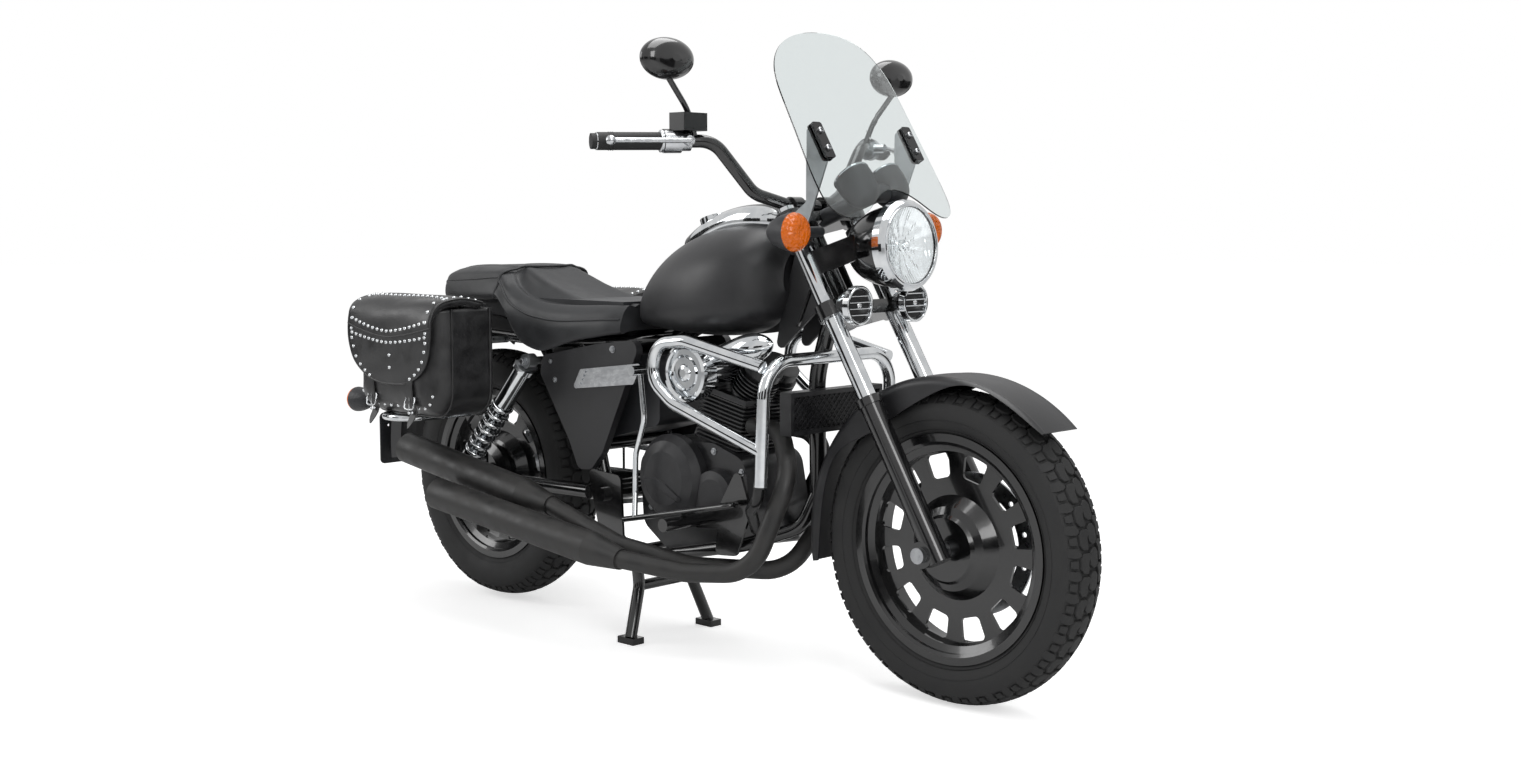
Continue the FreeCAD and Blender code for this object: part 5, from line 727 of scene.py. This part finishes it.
def bag_skin(point, side):
    """Pulls a point of the plain box to the rounded leather skin, with a slight bulge and ripples."""
    x, y, z = point
    r = bag_round
    core = Vector((min(max(x, rear + r), front - r), min(y, outer - 6 * mm - r), max(z, floor_z + r)))
    away = Vector(point) - core
    if away.length > 1e-9:
        away.normalize()
    skin = core + away * r
    u = (x - lid_mid) / ((front - rear) / 2)
    v = (z - (floor_z + rim) / 2) / ((rim - floor_z) / 2)
    if y > outer - 0.02:
        skin.y += 6 * mm * max(0, 1 - u * u) * max(0, 1 - v * v)
    ripple = math.sin(x * 61 + z * 23) * math.sin(z * 47 - x * 19 + y * 31) * 1.2 * mm
    skin -= away * (abs(ripple) + 0.5 * mm)
    return at(skin.x, side * skin.y, skin.z)


def bag_body(side, name):
    bm = bmesh.new()
    xs = [rear + (front - rear) * i / 40 for i in range(41)]
    ys = [inner + (outer - inner) * i / 20 for i in range(21)]
    zs = [floor_z + (rim - floor_z) * i / 30 for i in range(31)]
    found = {}

    def vert(x, y, z):
        key = (round(x, 6), round(y, 6), round(z, 6))
        if key not in found:
            found[key] = bm.verts.new(bag_skin((x, y, z), side))
        return found[key]

    def sheet(a, b, make):
        for i in range(len(a) - 1):
            for j in range(len(b) - 1):
                bm.faces.new([vert(*make(a[i + di], b[j + dj])) for di, dj in ((0, 0), (1, 0), (1, 1), (0, 1))])

    sheet(xs, ys, lambda x, y: (x, y, floor_z))
    sheet(xs, zs, lambda x, z: (x, outer, z))
    sheet(xs, zs, lambda x, z: (x, inner, z))
    sheet(ys, zs, lambda y, z: (front, y, z))
    sheet(ys, zs, lambda y, z: (rear, y, z))
    return new_piece(name, bm, "black_saddle_leather", "frame", 50)


def bag_edge(side, y, grow):
    """The line round a bag's panel at distance y from the middle: down the front, along the floor and up."""
    line = [(front, rim), (front, (rim + floor_z) / 2 + 0.03), (front, floor_z + 0.07)]
    r = bag_round
    for angle in (math.pi / 2 * i / 6 for i in range(1, 6)):
        line.append((front - r + r * math.cos(angle), floor_z + r - r * math.sin(angle)))
    line.append((front - 0.075, floor_z))
    line += [(rear + front - x, z) for x, z in reversed(line)]
    lifts = [0.0 if z > floor_z + 0.06 else (1 - grow) * 0.1 for x, z in line]
    return [at(lid_mid + (x - lid_mid) * grow, side * y, z + lift) for (x, z), lift in zip(line, lifts)]


pipings = (("back", inner + 2 * mm, 0.995, 3.2 * mm), ("front", outer - 56 * mm, 0.998, 2.6 * mm))
for side, tag in sides:
    body = bag_body(side, "leather_bag_" + tag)
    for part, y, grow, radius in pipings:
        tube("bag_%s_piping_%s" % (part, tag), bag_edge(side, y, grow), radius, "black_saddle_leather", "frame")
    if side < 0:
        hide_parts("saddlebags")
    thicken(body, bag_leather)
print("bag wall mm", bag_leather / mm)

# %% [markdown]
# The lid is one sheet that runs over the top and down the outer face in a U, so it is a grid bent along its own
# profile: every point is a distance along the lid and one across it. Its studs, bindings and straps then use the
# same two numbers, and keep to the leather at every place.

# %% The lid's line
top, flap_low = rim + 7 * mm, 0.545
lid_line = flowing([(inner + 0.010, top + 0.004), (inner + 0.025, top + 0.012), (inner + 0.052, top + 0.018),
                    ((inner + outer) / 2, top + 0.021), (outer - 0.045, top + 0.017), (outer - 0.018, top + 0.009),
                    (outer - 0.002, top - 0.006), (outer + 0.006, top - 0.026), (outer + 0.008, top - 0.06),
                    (outer + 0.0075, top - 0.10), (outer + 0.005, top - 0.14), (outer + 0.001, flap_low)], 5)
lid_ys, lid_zs = zip(*lid_line)
lid_lengths = [0.0]
for a, b in zip(lid_line, lid_line[1:]):
    lid_lengths.append(lid_lengths[-1] + math.hypot(b[0] - a[0], b[1] - a[1]))
lid_total = lid_lengths[-1]
round_from = lid_total - 0.125


def on_line(s):
    """The (y, z) of the lid's line at distance s from the hinge."""
    s = min(max(s, 0.0), lid_total)
    return float(np.interp(s, lid_lengths, lid_ys)), float(np.interp(s, lid_lengths, lid_zs))


def lid_width(s):
    """Half the lid's width at distance s from its hinge: full, then rounding into a U."""
    if s < round_from:
        return lid_half
    return lid_half * (1 - ((s - round_from) / (lid_total - round_from)) ** 2.6) ** (1 / 2.2)


def lid_point(s, v, side, lift=0.0):
    """A point s along the lid and v across it, from -1 to 1, lifted off the leather, and its normal."""
    s = min(max(s, 0.0), lid_total)
    (y, z), (y1, z1), (y2, z2) = on_line(s), on_line(s - 4 * mm), on_line(s + 4 * mm)
    along = Vector((0, y2 - y1, z2 - z1)).normalized()
    normal = Vector((0, -along.z, along.y))
    x = lid_mid + v * lid_width(s)
    sag = 4 * mm * abs((x - lid_mid) / lid_half) ** 3 + 1.2 * mm * math.sin(x * 31 + s * 40) * math.sin(s * 57)
    point = Vector((x, y, z)) + normal * (lift - sag)
    return at(point.x, side * point.y, point.z), Vector((0, side * normal.y, normal.z))


print("lid length mm", round(lid_total / mm))


# %% Bag lids
def bag_lid(side, tag):
    bm = bmesh.new()
    rows, columns = 64, 36
    places = [lid_total * (1 - (1 - i / rows) ** 1.15) for i in range(rows)]
    grid = [[bm.verts.new(lid_point(s, -1 + 2 * j / columns, side)[0]) for j in range(columns + 1)] for s in places]
    tip = bm.verts.new(lid_point(lid_total, 0, side)[0])
    join(bm, grid, closed=False)
    for a, b in zip(grid[-1], grid[-1][1:]):
        bm.faces.new((a, tip, b))
    for column, v in ((0, -1), (columns, 1)):
        skirt = []
        for row, s in zip(grid, places[:-1]):
            if s > round_from + 0.02:
                break
            point, normal = lid_point(s, v, side)
            depth = 16 * mm * min(1, s / 0.02) * max(0, 1 - max(0, s - 0.15) / (round_from - 0.13))
            skirt.append((row[column], bm.verts.new(point - normal * depth)))
        join(bm, skirt, closed=False)
    obj = new_piece("leather_lid_" + tag, bm, "black_saddle_leather", "lid_" + tag, 60)
    thicken(obj, lid_leather)
    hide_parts("bag_lid_" + tag)


def lid_border(side, inset, lift):
    """The lid's free edge, inset towards its middle, as points with their normals."""
    steps = 48
    places = [0.012 + (lid_total - inset - 0.012) * math.sin(math.pi / 2 * i / steps) for i in range(steps + 1)]
    points = [(s, max(lid_width(s) - inset, 0.0)) for s in places]
    line = [(s, -w) for s, w in points] + [(s, w) for s, w in reversed(points)][1:]
    return [lid_point(s, w / lid_width(s) if lid_width(s) > 1e-6 else 0, side, lift) for s, w in line]


def spaced(points, gap_length):
    """Every point of a line that is gap_length on from the last one kept."""
    kept, run = [points[0]], 0.0
    for before, here in zip(points, points[1:]):
        run += (here[0] - before[0]).length
        if run >= gap_length:
            kept.append(here)
            run = 0.0
    return kept


across = [-0.88 + 1.76 * i / 16 for i in range(17)]
for side, tag in sides:
    bag_lid(side, tag)
    binding = [point for point, normal in lid_border(side, 1 * mm, -1 * mm)][::3]
    tube("lid_binding_" + tag, binding, 2.6 * mm, "black_saddle_leather", "lid_" + tag)
    places = spaced(lid_border(side, 16 * mm, 0.0), 19 * mm)
    for s, dip in ((0.215, 0.030), (0.240, 0.020), (0.10, 0.0)):
        places += [lid_point(s - dip * (abs(v) ** 1.5), v, side) for v in across]
    places += [lid_point(s, 0.05, side) for s in (0.268, 0.296)]
    studs = bmesh.new()
    for point, normal in places:
        dome(studs, point, normal)
    new_piece("lid_studs_" + tag, studs, "chrome_plated_steel", "lid_" + tag, 80)
    yoke = [lid_point(0.2275 - 0.025 * abs(v) ** 1.5, v, side, 0.6 * mm)[0] for v in (-1 + i / 10 for i in range(21))]
    tube("lid_yoke_edge_" + tag, yoke, 1.6 * mm, "black_saddle_leather", "lid_" + tag)
print("studs on a lid", len(places))

# %% [markdown]
# Two straps come out from under the flap, pass a buckle and end in a point that hangs free. A strap is a ribbon:
# a row of cross sections along a line, 24 mm wide and 3 mm thick. Buckles are chromed wire frames with a tongue.


# %% Straps, buckles and the studs of the bag
def strap(name, points, normal, width, thickness, body):
    """A ribbon along points, with a narrow last end."""
    bm = bmesh.new()
    rings = []
    for i, point in enumerate(points):
        along = (points[min(i + 1, len(points) - 1)] - points[max(i - 1, 0)]).normalized()
        cross = along.cross(normal).normalized()
        left = len(points) - 1 - i
        half = width / 2 * (0.08, 0.55, 0.88, 1)[min(left, 3)]
        rings.append([bm.verts.new(point + cross * a * half + normal * b * thickness / 2)
                      for a, b in ((-1, -0.6), (-0.9, 1), (0.9, 1), (1, -0.6), (0.9, -1), (-0.9, -1))])
    join(bm, rings)
    bm.faces.new(rings[0])
    bm.faces.new(list(reversed(rings[-1])))
    new_piece(name, bm, "black_saddle_leather", body, 40)


def outer_skin(x, z, side, lift):
    """A point on the bag's outer face, lift away from it. Below the lower edge the face curves in."""
    y = outer - 4 * mm
    if z < floor_z + bag_round:
        y = outer - 6 * mm - bag_round + math.sqrt(max(bag_round ** 2 - (floor_z + bag_round - z) ** 2, 0))
    return at(x, side * (y + lift), z)


strap_line = [(0.575, 0.003), (0.560, 0.0045), (0.545, 0.006), (0.530, 0.007), (0.518, 0.0075), (0.508, 0.007),
              (0.498, 0.0085), (0.488, 0.014), (0.478, 0.020), (0.468, 0.026), (0.459, 0.031), (0.452, 0.034)]
buckle_half = (17 * mm, 14 * mm)
buckle_corners = ((-0.7, 1), (0.7, 1), (1, 0.7), (1, -0.7), (0.7, -1), (-0.7, -1), (-1, -0.7), (-1, 0.7))
strap_foot = floor_z + 12 * mm
for side, tag in sides:
    outward = Vector((0, side, 0))
    studs = bmesh.new()
    for number, x in enumerate((0.128, -0.018)):
        points = [outer_skin(x, max(z, strap_foot), side, lift) for z, lift in strap_line]
        for point, (z, lift) in zip(points, strap_line):
            point.z = z
        strap("strap_%s_%d" % (tag, number), points, outward, 24 * mm, 3 * mm, "lid_" + tag)
        buckle = outer_skin(x, 0.508, side, 11.2 * mm)
        w, h = buckle_half
        corners = [buckle + Vector((a * w, -side * 0.25 * b * h, b * h)) for a, b in buckle_corners]
        tube("buckle_%s_%d" % (tag, number), corners, 1.9 * mm, "chrome_plated_steel", "lid_" + tag, cyclic=True)
        tongue = [buckle + Vector(step) for step in ((0, 0, h), (0, side * 2 * mm, 0), (0, side * 1 * mm, -16 * mm))]
        tube("buckle_tongue_%s_%d" % (tag, number), tongue, 1.5 * mm, "chrome_plated_steel", "lid_" + tag)
        for z, lift in ((0.478, 22.5 * mm), (0.464, 30.5 * mm)):
            dome(studs, outer_skin(x, max(z, strap_foot), side, lift), outward, 3.8 * mm, 3 * mm)
    new_piece("strap_studs_" + tag, studs, "chrome_plated_steel", "lid_" + tag, 80)
    low_row = [p for p in bag_edge(side, outer - 0.03, 0.955) if p.z < 0.53]
    fine = []
    for a, b in zip(low_row, low_row[1:]):
        for point in (a + (b - a) * step / 12 for step in range(12)):
            skin = bag_skin((point.x + middle, outer, point.z), side)
            fine.append((skin, Vector((0, side, -0.25)).normalized()))
    body_studs = bmesh.new()
    for point, normal in spaced(fine, 21 * mm):
        dome(body_studs, point, normal)
    new_piece("bag_studs_" + tag, body_studs, "chrome_plated_steel", "frame", 80)
print("straps", 4)

# %% [markdown]
# The seat is moulded foam with a stitched vinyl cover drawn tight over it, so it has no folds to simulate. Its form
# is a row of cross sections. Each one runs from the middle over a shoulder into a soft crease, out over the side
# roll to a piped seam, and down a skirt. The same smooth curve joins the points of a section and the sections.

# %% Seat sections
# place along the machine, shoulder height, crease out and up, piping out and up, skirt out and up
seat_rows = [
    (-0.074, 0.766, 0.070, 0.764, 0.108, 0.750, 0.108, 0.730),
    (-0.068, 0.784, 0.078, 0.782, 0.116, 0.764, 0.118, 0.728),
    (-0.050, 0.796, 0.084, 0.794, 0.124, 0.768, 0.127, 0.726),
    (-0.010, 0.803, 0.088, 0.800, 0.130, 0.770, 0.134, 0.726),
    (0.050, 0.806, 0.090, 0.803, 0.133, 0.773, 0.138, 0.727), (0.110, 0.806, 0.090, 0.803, 0.134, 0.777, 0.141, 0.728),
    (0.145, 0.805, 0.090, 0.801, 0.132, 0.779, 0.143, 0.730), (0.163, 0.804, 0.090, 0.790, 0.136, 0.762, 0.145, 0.728),
    (0.187, 0.800, 0.100, 0.768, 0.141, 0.736, 0.147, 0.705), (0.215, 0.790, 0.106, 0.752, 0.146, 0.720, 0.149, 0.668),
    (0.246, 0.779, 0.110, 0.740, 0.148, 0.709, 0.151, 0.641), (0.280, 0.767, 0.111, 0.731, 0.150, 0.700, 0.152, 0.628),
    (0.321, 0.755, 0.112, 0.726, 0.152, 0.695, 0.152, 0.622), (0.360, 0.744, 0.112, 0.724, 0.153, 0.692, 0.152, 0.630),
    (0.400, 0.735, 0.111, 0.724, 0.152, 0.692, 0.152, 0.641), (0.442, 0.731, 0.109, 0.725, 0.150, 0.694, 0.150, 0.651),
    (0.490, 0.730, 0.104, 0.727, 0.145, 0.697, 0.147, 0.659), (0.530, 0.730, 0.098, 0.728, 0.138, 0.699, 0.141, 0.665),
    (0.562, 0.729, 0.090, 0.728, 0.126, 0.700, 0.128, 0.669)]


def seat_section(row):
    """Half a section from the middle of the top down to the middle of the underside, as (out, up)."""
    x, top, crease, crease_z, piping, piping_z, foot, foot_z = row
    fall, drop = top - crease_z, piping_z - foot_z
    deep = min(max((x - 0.13) / 0.12, 0.0), 1.0)
    dish = 0.010 * deep
    upper = [(0, top - dish), (crease * 0.4, top - dish * 0.8), (crease * 0.70, top - dish * 0.2 - fall * 0.05),
             (crease - 0.016, crease_z + fall * 0.30 + 0.003), (crease, crease_z - 0.003 * deep),
             (crease + 0.014, crease_z + 0.001 - 0.004 * (1 - deep)),
             (piping - 0.007, piping_z + 0.45 * (crease_z - piping_z) + 0.003), (piping, piping_z)]
    lower = [(piping, piping_z), (piping + 0.004, piping_z - 0.3 * drop), (foot + 0.003, piping_z - 0.72 * drop),
             (foot, foot_z + 0.003), (foot - 0.006, foot_z), (foot - 0.030, foot_z + 0.006), (0, foot_z + 0.006)]
    return flowing(upper, 4)[:-1] + flowing(lower, 3)


def whole_ring(bm, x, half):
    """A ring of points at x from the half on one side of the machine, whose first and last point lie in its middle."""
    ring = [(-y, z) for y, z in half] + [(y, z) for y, z in reversed(half[1:-1])]
    return [bm.verts.new(at(x, y, z)) for y, z in ring]


seat_fine = flowing(seat_rows, 4)
print("seat sections", len(seat_fine))

# %% Seat cover
bm = bmesh.new()
rings = [whole_ring(bm, row[0], seat_section(row)) for row in seat_fine]
join(bm, rings)
for ring in (rings[0], rings[-1]):
    fan(bm, bm.verts.new(sum((v.co for v in ring), Vector()) / len(ring)), ring)
seat_cover = new_piece("seat_cover", bm, "embossed_seat_vinyl", "frame", 50)
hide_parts("seat")
print("seat faces", len(seat_cover.data.polygons))

# %% [markdown]
# Piping is a cord sewn into the seam: a thin round bead that stands half out of the surface. It runs along both
# sides of the rider's seat, round the pillion seat's front edge, and as a plain seam round the pillion's side.
# Under the cover, the seat pan is a dark moulded plate that closes the gap to the frame.

# %% Piping and the seat pan
rider = [row for row in seat_fine if row[0] > 0.146][::2]
pillion = [row for row in seat_fine if row[0] < 0.150][::2]
for side, tag in sides:
    beads = (("seat_piping_", rider, 0.5 * mm, 2.6 * mm), ("pillion_seam_", pillion, 0.0, 1.6 * mm))
    for name, rows, out, radius in beads:
        line = [at(row[0], side * (row[4] + out), row[5]) for row in rows]
        tube(name + tag, line, radius, "embossed_seat_vinyl", "frame")


def pillion_edge(lean):
    """The seam over the pillion seat, further forward towards the middle of the machine."""
    half = seat_section(min(seat_fine, key=lambda row: abs(row[0] - 0.150)))
    half = half[:half.index(min(half, key=lambda p: abs(p[1] - 0.733))) + 1]
    line = [(0.150 + lean * (1 - (y / 0.14) ** 2), y, z) for y, z in half]
    return [at(x, -y, z) for x, y, z in reversed(line)] + [at(x, y, z) for x, y, z in line[1:]]


tube("pillion_piping", pillion_edge(0.022)[::2], 3.0 * mm, "embossed_seat_vinyl", "frame")
rear_seam = [at(-0.0745, y, 0.7495 - abs(y) * 0.02) for y in (-0.106, -0.06, 0, 0.06, 0.106)]
tube("pillion_rear_seam", rear_seam, 1.6 * mm, "embossed_seat_vinyl", "frame")

pan_top = 0.736
pan_foot = [(-0.055, 0.722), (-0.02, 0.700), (0.09, 0.690), (0.20, 0.680), (0.26, 0.660), (0.48, 0.664), (0.545, 0.676)]
bm = bmesh.new()
rings = []
for x, low in pan_foot:
    rings.append(whole_ring(bm, x, [(0, low), (-0.098, low), (-0.104, low + 0.004), (-0.106, pan_top), (0, pan_top)]))
join(bm, rings)
bm.faces.new(rings[0])
bm.faces.new(rings[-1])
pan = new_piece("seat_pan", bm, "moulded_abs_plastic", "frame", 40)
print("piping and seams", 6)

# %% [markdown]
# The headlamp is the machine's face. Its glass is a thin bulged shell, so light passes two close surfaces and
# comes back from the reflector. The reflector is a shallow bowl whose depth changes a little from facet to facet,
# as a real one's does to spread the beam, and the bulb stands in it behind a chromed cap.

# %% Headlamp glass, reflector and bulb
lamp, lamp_tilt = at(1.245, 0, 0.864), math.radians(3.9)
beam = Vector((math.cos(lamp_tilt), 0, math.sin(lamp_tilt)))
glass = turned("headlamp_glass", [
    (-0.011, 0.0752), (0.0, 0.0752), (0.0035, 0.066), (0.0065, 0.046), (0.0085, 0.022), (0.009, 0.0), (0.0068, 0.0),
    (0.0063, 0.022), (0.0043, 0.045), (0.0013, 0.064), (-0.0025, 0.0728), (-0.011, 0.0728)],
    lamp, beam, "pressed_lamp_glass", "fork", 96, loop=True)
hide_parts("headlamp_lens")

bm = bmesh.new()
spin = beam.to_track_quat("Z", "Y").to_matrix()
rings = []
for share in (ring / 14 for ring in range(15)):
    radius = 0.011 + 0.0612 * share
    fade = math.sin(math.pi * share)
    row = []
    for angle in (2 * math.pi * i / 120 for i in range(120)):
        facet = 1.1 * mm * fade * math.cos(12 * angle) + 0.6 * mm * fade * math.cos(share * 22)
        along = -0.0250 + 0.0205 * share ** 2 + facet
        row.append(bm.verts.new(lamp + spin @ Vector((radius * math.cos(angle), radius * math.sin(angle), along))))
    rings.append(row)
join(bm, rings)
reflector = new_piece("headlamp_reflector", bm, "vapour_coated_reflector", "fork", 20)
cap = [(-0.0255, 0.012), (-0.022, 0.0115), (-0.020, 0.007), (-0.010, 0.0065), (-0.007, 0.004), (-0.0062, 0)]
turned("headlamp_bulb_cap", cap, lamp, beam, "chrome_plated_steel", "fork", 32)
turned("headlamp_inner_ring", ring_profile(0.6 * mm, 75.2 * mm, 2 * mm, 8), lamp, beam, "chrome_plated_steel", "fork",
       96, loop=True)
print("headlamp radius mm", 75)

# %% [markdown]
# Under the headlamp sit two small round lamps behind chromed guards: four bars across a dark bowl, with a bulb's
# bright point in the middle. The dials are black cups with chrome rims, a printed face and a domed glass.

# %% Guarded lamps
ahead, sideways = Vector((1, 0, 0)), Vector((0, 1, 0))
bowl = [(-0.0052, 0.0300), (-0.0052, 0.012), (-0.0040, 0.010), (-0.0030, 0.006), (-0.0028, 0)]
bulb = [(-0.005, 0.0065), (-0.002, 0.006), (0.0005, 0.003), (0.001, 0)]
bar_heights = (-18 * mm, -6 * mm, 6 * mm, 18 * mm)


def small_lamp(side, tag):
    place = at(1.190, side * 0.084, 0.750)
    turned("small_lamp_bowl_" + tag, bowl, place, ahead, "printed_dial_face", "fork", 40)
    for number, height in enumerate(bar_heights):
        reach = math.sqrt(0.0315 ** 2 - height ** 2)
        bar = [place + Vector((-0.8 * mm, y, height)) for y in (-reach, 0, reach)]
        tube("small_lamp_bar_%s_%d" % (tag, number), bar, 1.3 * mm, "chrome_plated_steel", "fork")
    turned("small_lamp_bulb_" + tag, bulb, place, ahead, "chrome_plated_steel", "fork", 20)
    turned("small_lamp_rim_" + tag, ring_profile(-0.5 * mm, 35.2 * mm, 2.2 * mm), place, ahead, "chrome_plated_steel",
           "fork", 56, loop=True)


print("bars on a small lamp", len(bar_heights))

# %% Dials
dial_tilt, mark_count, first_mark = math.radians(48), 33, -130
aim = Vector((-math.cos(dial_tilt), 0, math.sin(dial_tilt)))
across = aim.cross(sideways)
dial_glass = [(0.0010, 0.0335), (0.0034, 0.024), (0.0048, 0.0), (0.0040, 0.0), (0.0026, 0.024), (0.0008, 0.0330)]


def print_mark(bm, dial, degrees, lift, corners):
    """A flat mark on a dial's face, with corners given as (out from the middle, aside)."""
    angle = math.radians(degrees)
    out = across * math.cos(angle) + sideways * math.sin(angle)
    aside = aim.cross(out)
    bm.faces.new([bm.verts.new(dial + aim * lift + out * r + aside * s) for r, s in corners])


def gauge(side, tag):
    dial = at(1.132, side * 0.046, 0.994)
    turned("dial_face_" + tag, [(0.4 * mm, 34.5 * mm), (0.4 * mm, 0)], dial, aim, "printed_dial_face", "fork", 48)
    turned("dial_rim_" + tag, ring_profile(0.6 * mm, 35.2 * mm, 2.8 * mm), dial, aim, "chrome_plated_steel", "fork",
           56, loop=True)
    turned("dial_glass_" + tag, dial_glass, dial, aim, "pressed_lamp_glass", "fork", 48, loop=True)
    marks = bmesh.new()
    for i in range(mark_count):
        half, start = (0.5 * mm, 28.5 * mm) if i % 4 else (0.9 * mm, 26 * mm)
        end = 31.5 * mm
        print_mark(marks, dial, first_mark + 260 * i / (mark_count - 1), 0.7 * mm,
                   ((start, -half), (end, -half), (end, half), (start, half)))
    print_mark(marks, dial, first_mark, 1 * mm, ((-6 * mm, -1.1 * mm), (25 * mm, 0), (-6 * mm, 1.1 * mm)))
    new_piece("dial_marks_" + tag, marks, "white_dial_print", "fork")


for side, tag in sides:
    small_lamp(side, tag)
    gauge(side, tag)
print("dial marks", mark_count)

# %% [markdown]
# A mirror is a gloss black shell with silvered glass let into its rear side. The glass is very slightly bulged,
# so that its picture is smaller and wider, as on the real machine.

# %% Mirror glass
glass_half = (57.5 * mm, 34.5 * mm)


def mirror_glass(side, tag):
    bm = bmesh.new()
    head = at(0.925, side * 0.330, 1.212)
    rows = []
    for share in (0.25, 0.5, 0.75, 1.0):
        depth = -12.4 * mm - 1.5 * mm * (1 - share * share)
        rows.append([bm.verts.new(head + Vector((depth, glass_half[0] * share * math.cos(angle),
                                                 glass_half[1] * share * math.sin(angle))))
                     for angle in (2 * math.pi * i / 64 for i in range(64))])
    fan(bm, bm.verts.new(head + Vector((-13.9 * mm, 0, 0))), rows[0])
    join(bm, rows)
    new_piece("mirror_glass_" + tag, bm, "silvered_mirror_glass", "fork")


print("mirror glass mm", 2 * glass_half[0] / mm, 2 * glass_half[1] / mm)

# %% [markdown]
# Bolts tell how a machine is put together. A hexagon bolt is two turned parts, a flat washer and a head with six
# sides and a bevelled rim, and a cap bolt has a round head with a socket. They clamp the screen, and the grips
# end in a flange, a ring and three grooves.


# %% Bolt heads
def hex_bolt(bm, centre, axis, size):
    """A bolt head, size across its washer."""
    head = [(1 * mm, 0.37 * size), (0.28 * size, 0.37 * size), (0.33 * size, 0.31 * size), (0.33 * size, 0)]
    turn_into(bm, [(-1 * mm, 0.5 * size), (1.2 * mm, 0.5 * size), (1.2 * mm, 0)], centre, axis, 20)
    turn_into(bm, head, centre, axis, 6)


def cap_bolt(bm, centre, axis, size):
    """A round socket head."""
    shares = ((0.30, 0.5), (0.42, 0.36), (0.42, 0.2), (0.2, 0.18), (0.2, 0))
    turn_into(bm, [(-1 * mm, 0.5 * size)] + [(size * a, size * b) for a, b in shares], centre, axis, 24)


print("bolt heads", 2)

# %% Screen bolts and grip ends
def screen_bolts(side, tag):
    bolts = bmesh.new()
    for rise in (0.751, 0.789):
        cap_bolt(bolts, in_fork(0.1999, side * 0.133, rise), fork_lead, 12.5 * mm)
        hex_bolt(bolts, in_fork(plate_lead + 0.2 * mm, side * 0.133, rise), -fork_lead, 12.5 * mm)
    cap_bolt(bolts, in_fork(0.030, side * 0.134, 0.676), Vector((0, side, 0)), 11 * mm)
    new_piece("screen_bolts_" + tag, bolts, "zinc_plated_steel", "fork")


flange = [(0, 0.0171), (0, 0.0215), (0.004, 0.0215), (0.006, 0.0185), (0.006, 0.0171)]
for side, tag in sides:
    mirror_glass(side, tag)
    screen_bolts(side, tag)
    low, high = at(0.932, side * 0.2184, 1.062), at(0.824, side * 0.420, 1.059)
    span = (high - low).normalized()
    turned("grip_flange_" + tag, flange, high - span * 0.127, span, "polished_aluminium", "fork", 40, loop=True)
    turned("bar_end_ring_" + tag, ring_profile(1.5 * mm, 15.8 * mm, 1.2 * mm, 8), high, span, "chrome_plated_steel",
           "fork", 40, loop=True)
    for number in range(3):
        turned("grip_groove_%s_%d" % (tag, number), ring_profile(0, 16.9 * mm, 0.9 * mm, 6),
               high - span * (0.022 + 0.004 * number), span, "moulded_rubber", "fork", 40, loop=True)
print("bar end from riser mm", round((high - low).length / mm))

# %% [markdown]
# Zinc plated hexagons hold the covers and the engine's cases, and each stands on the surface that it clamps. The
# clutch cover has a raised wedge cast into its face.

# %% Bolts and nuts of the engine and the covers
bolts, nuts = bmesh.new(), bmesh.new()
for x, z, size in ((0.551, 0.637, 16 * mm), (0.360, 0.560, 13 * mm), (0.345, 0.600, 11 * mm)):
    for side in (-1, 1):
        hex_bolt(bolts, at(x, side * 0.143, z), Vector((0, side, 0)), size)
# side, place of the ring's middle, its radius, first bolt and step in degrees, bolts
for side, y, x, z, radius, first, step, count in ((-1, -0.1075, 0.690, 0.372, 80 * mm, 18, 51.4, 7),
                                                  (1, 0.1085, 0.760, 0.345, 68 * mm, 40, 72, 5)):
    for angle in (math.radians(first + step * i) for i in range(count)):
        place = at(x + radius * math.cos(angle), y, z + radius * math.sin(angle))
        cap_bolt(bolts, place, Vector((0, side, 0)), 11 * mm)
for x, z in ((0.880, 0.400), (0.872, 0.262), (0.800, 0.436), (0.610, 0.300)):
    hex_bolt(bolts, at(x, -0.0875, z), Vector((0, -1, 0)), 15 * mm)
new_piece("cover_bolts", bolts, "zinc_plated_steel", "frame")
for side in (-1, 1):
    for x, z in ((0.279, 0.597), (0.055, 0.352)):
        hex_bolt(nuts, at(x, side * 0.1667, z), Vector((0, side, 0)), 20 * mm)
new_piece("shock_nuts", nuts, "zinc_plated_steel", "frame")
print("bolts on covers", 22)

# %% Wedge on the clutch cover
wedge_x, wedge_z = 0.6845, 0.354
outline = [(0.626, 0.368), (0.668, 0.374), (0.700, 0.362), (0.742, 0.336), (0.738, 0.326), (0.690, 0.346),
           (0.650, 0.360)]
bm = bmesh.new()
low = [bm.verts.new(at(x, -0.1285, z)) for x, z in outline]
high = [bm.verts.new(at(wedge_x + (x - wedge_x) * 0.9, -0.1325, wedge_z + (z - wedge_z) * 0.8)) for x, z in outline]
join(bm, [low, high])
bm.faces.new(high)
new_piece("clutch_cover_wedge", bm, "satin_coated_engine_cover", "frame", 20)
print("wedge mm high", 4)

# %% The machine's bounds
low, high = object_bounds()
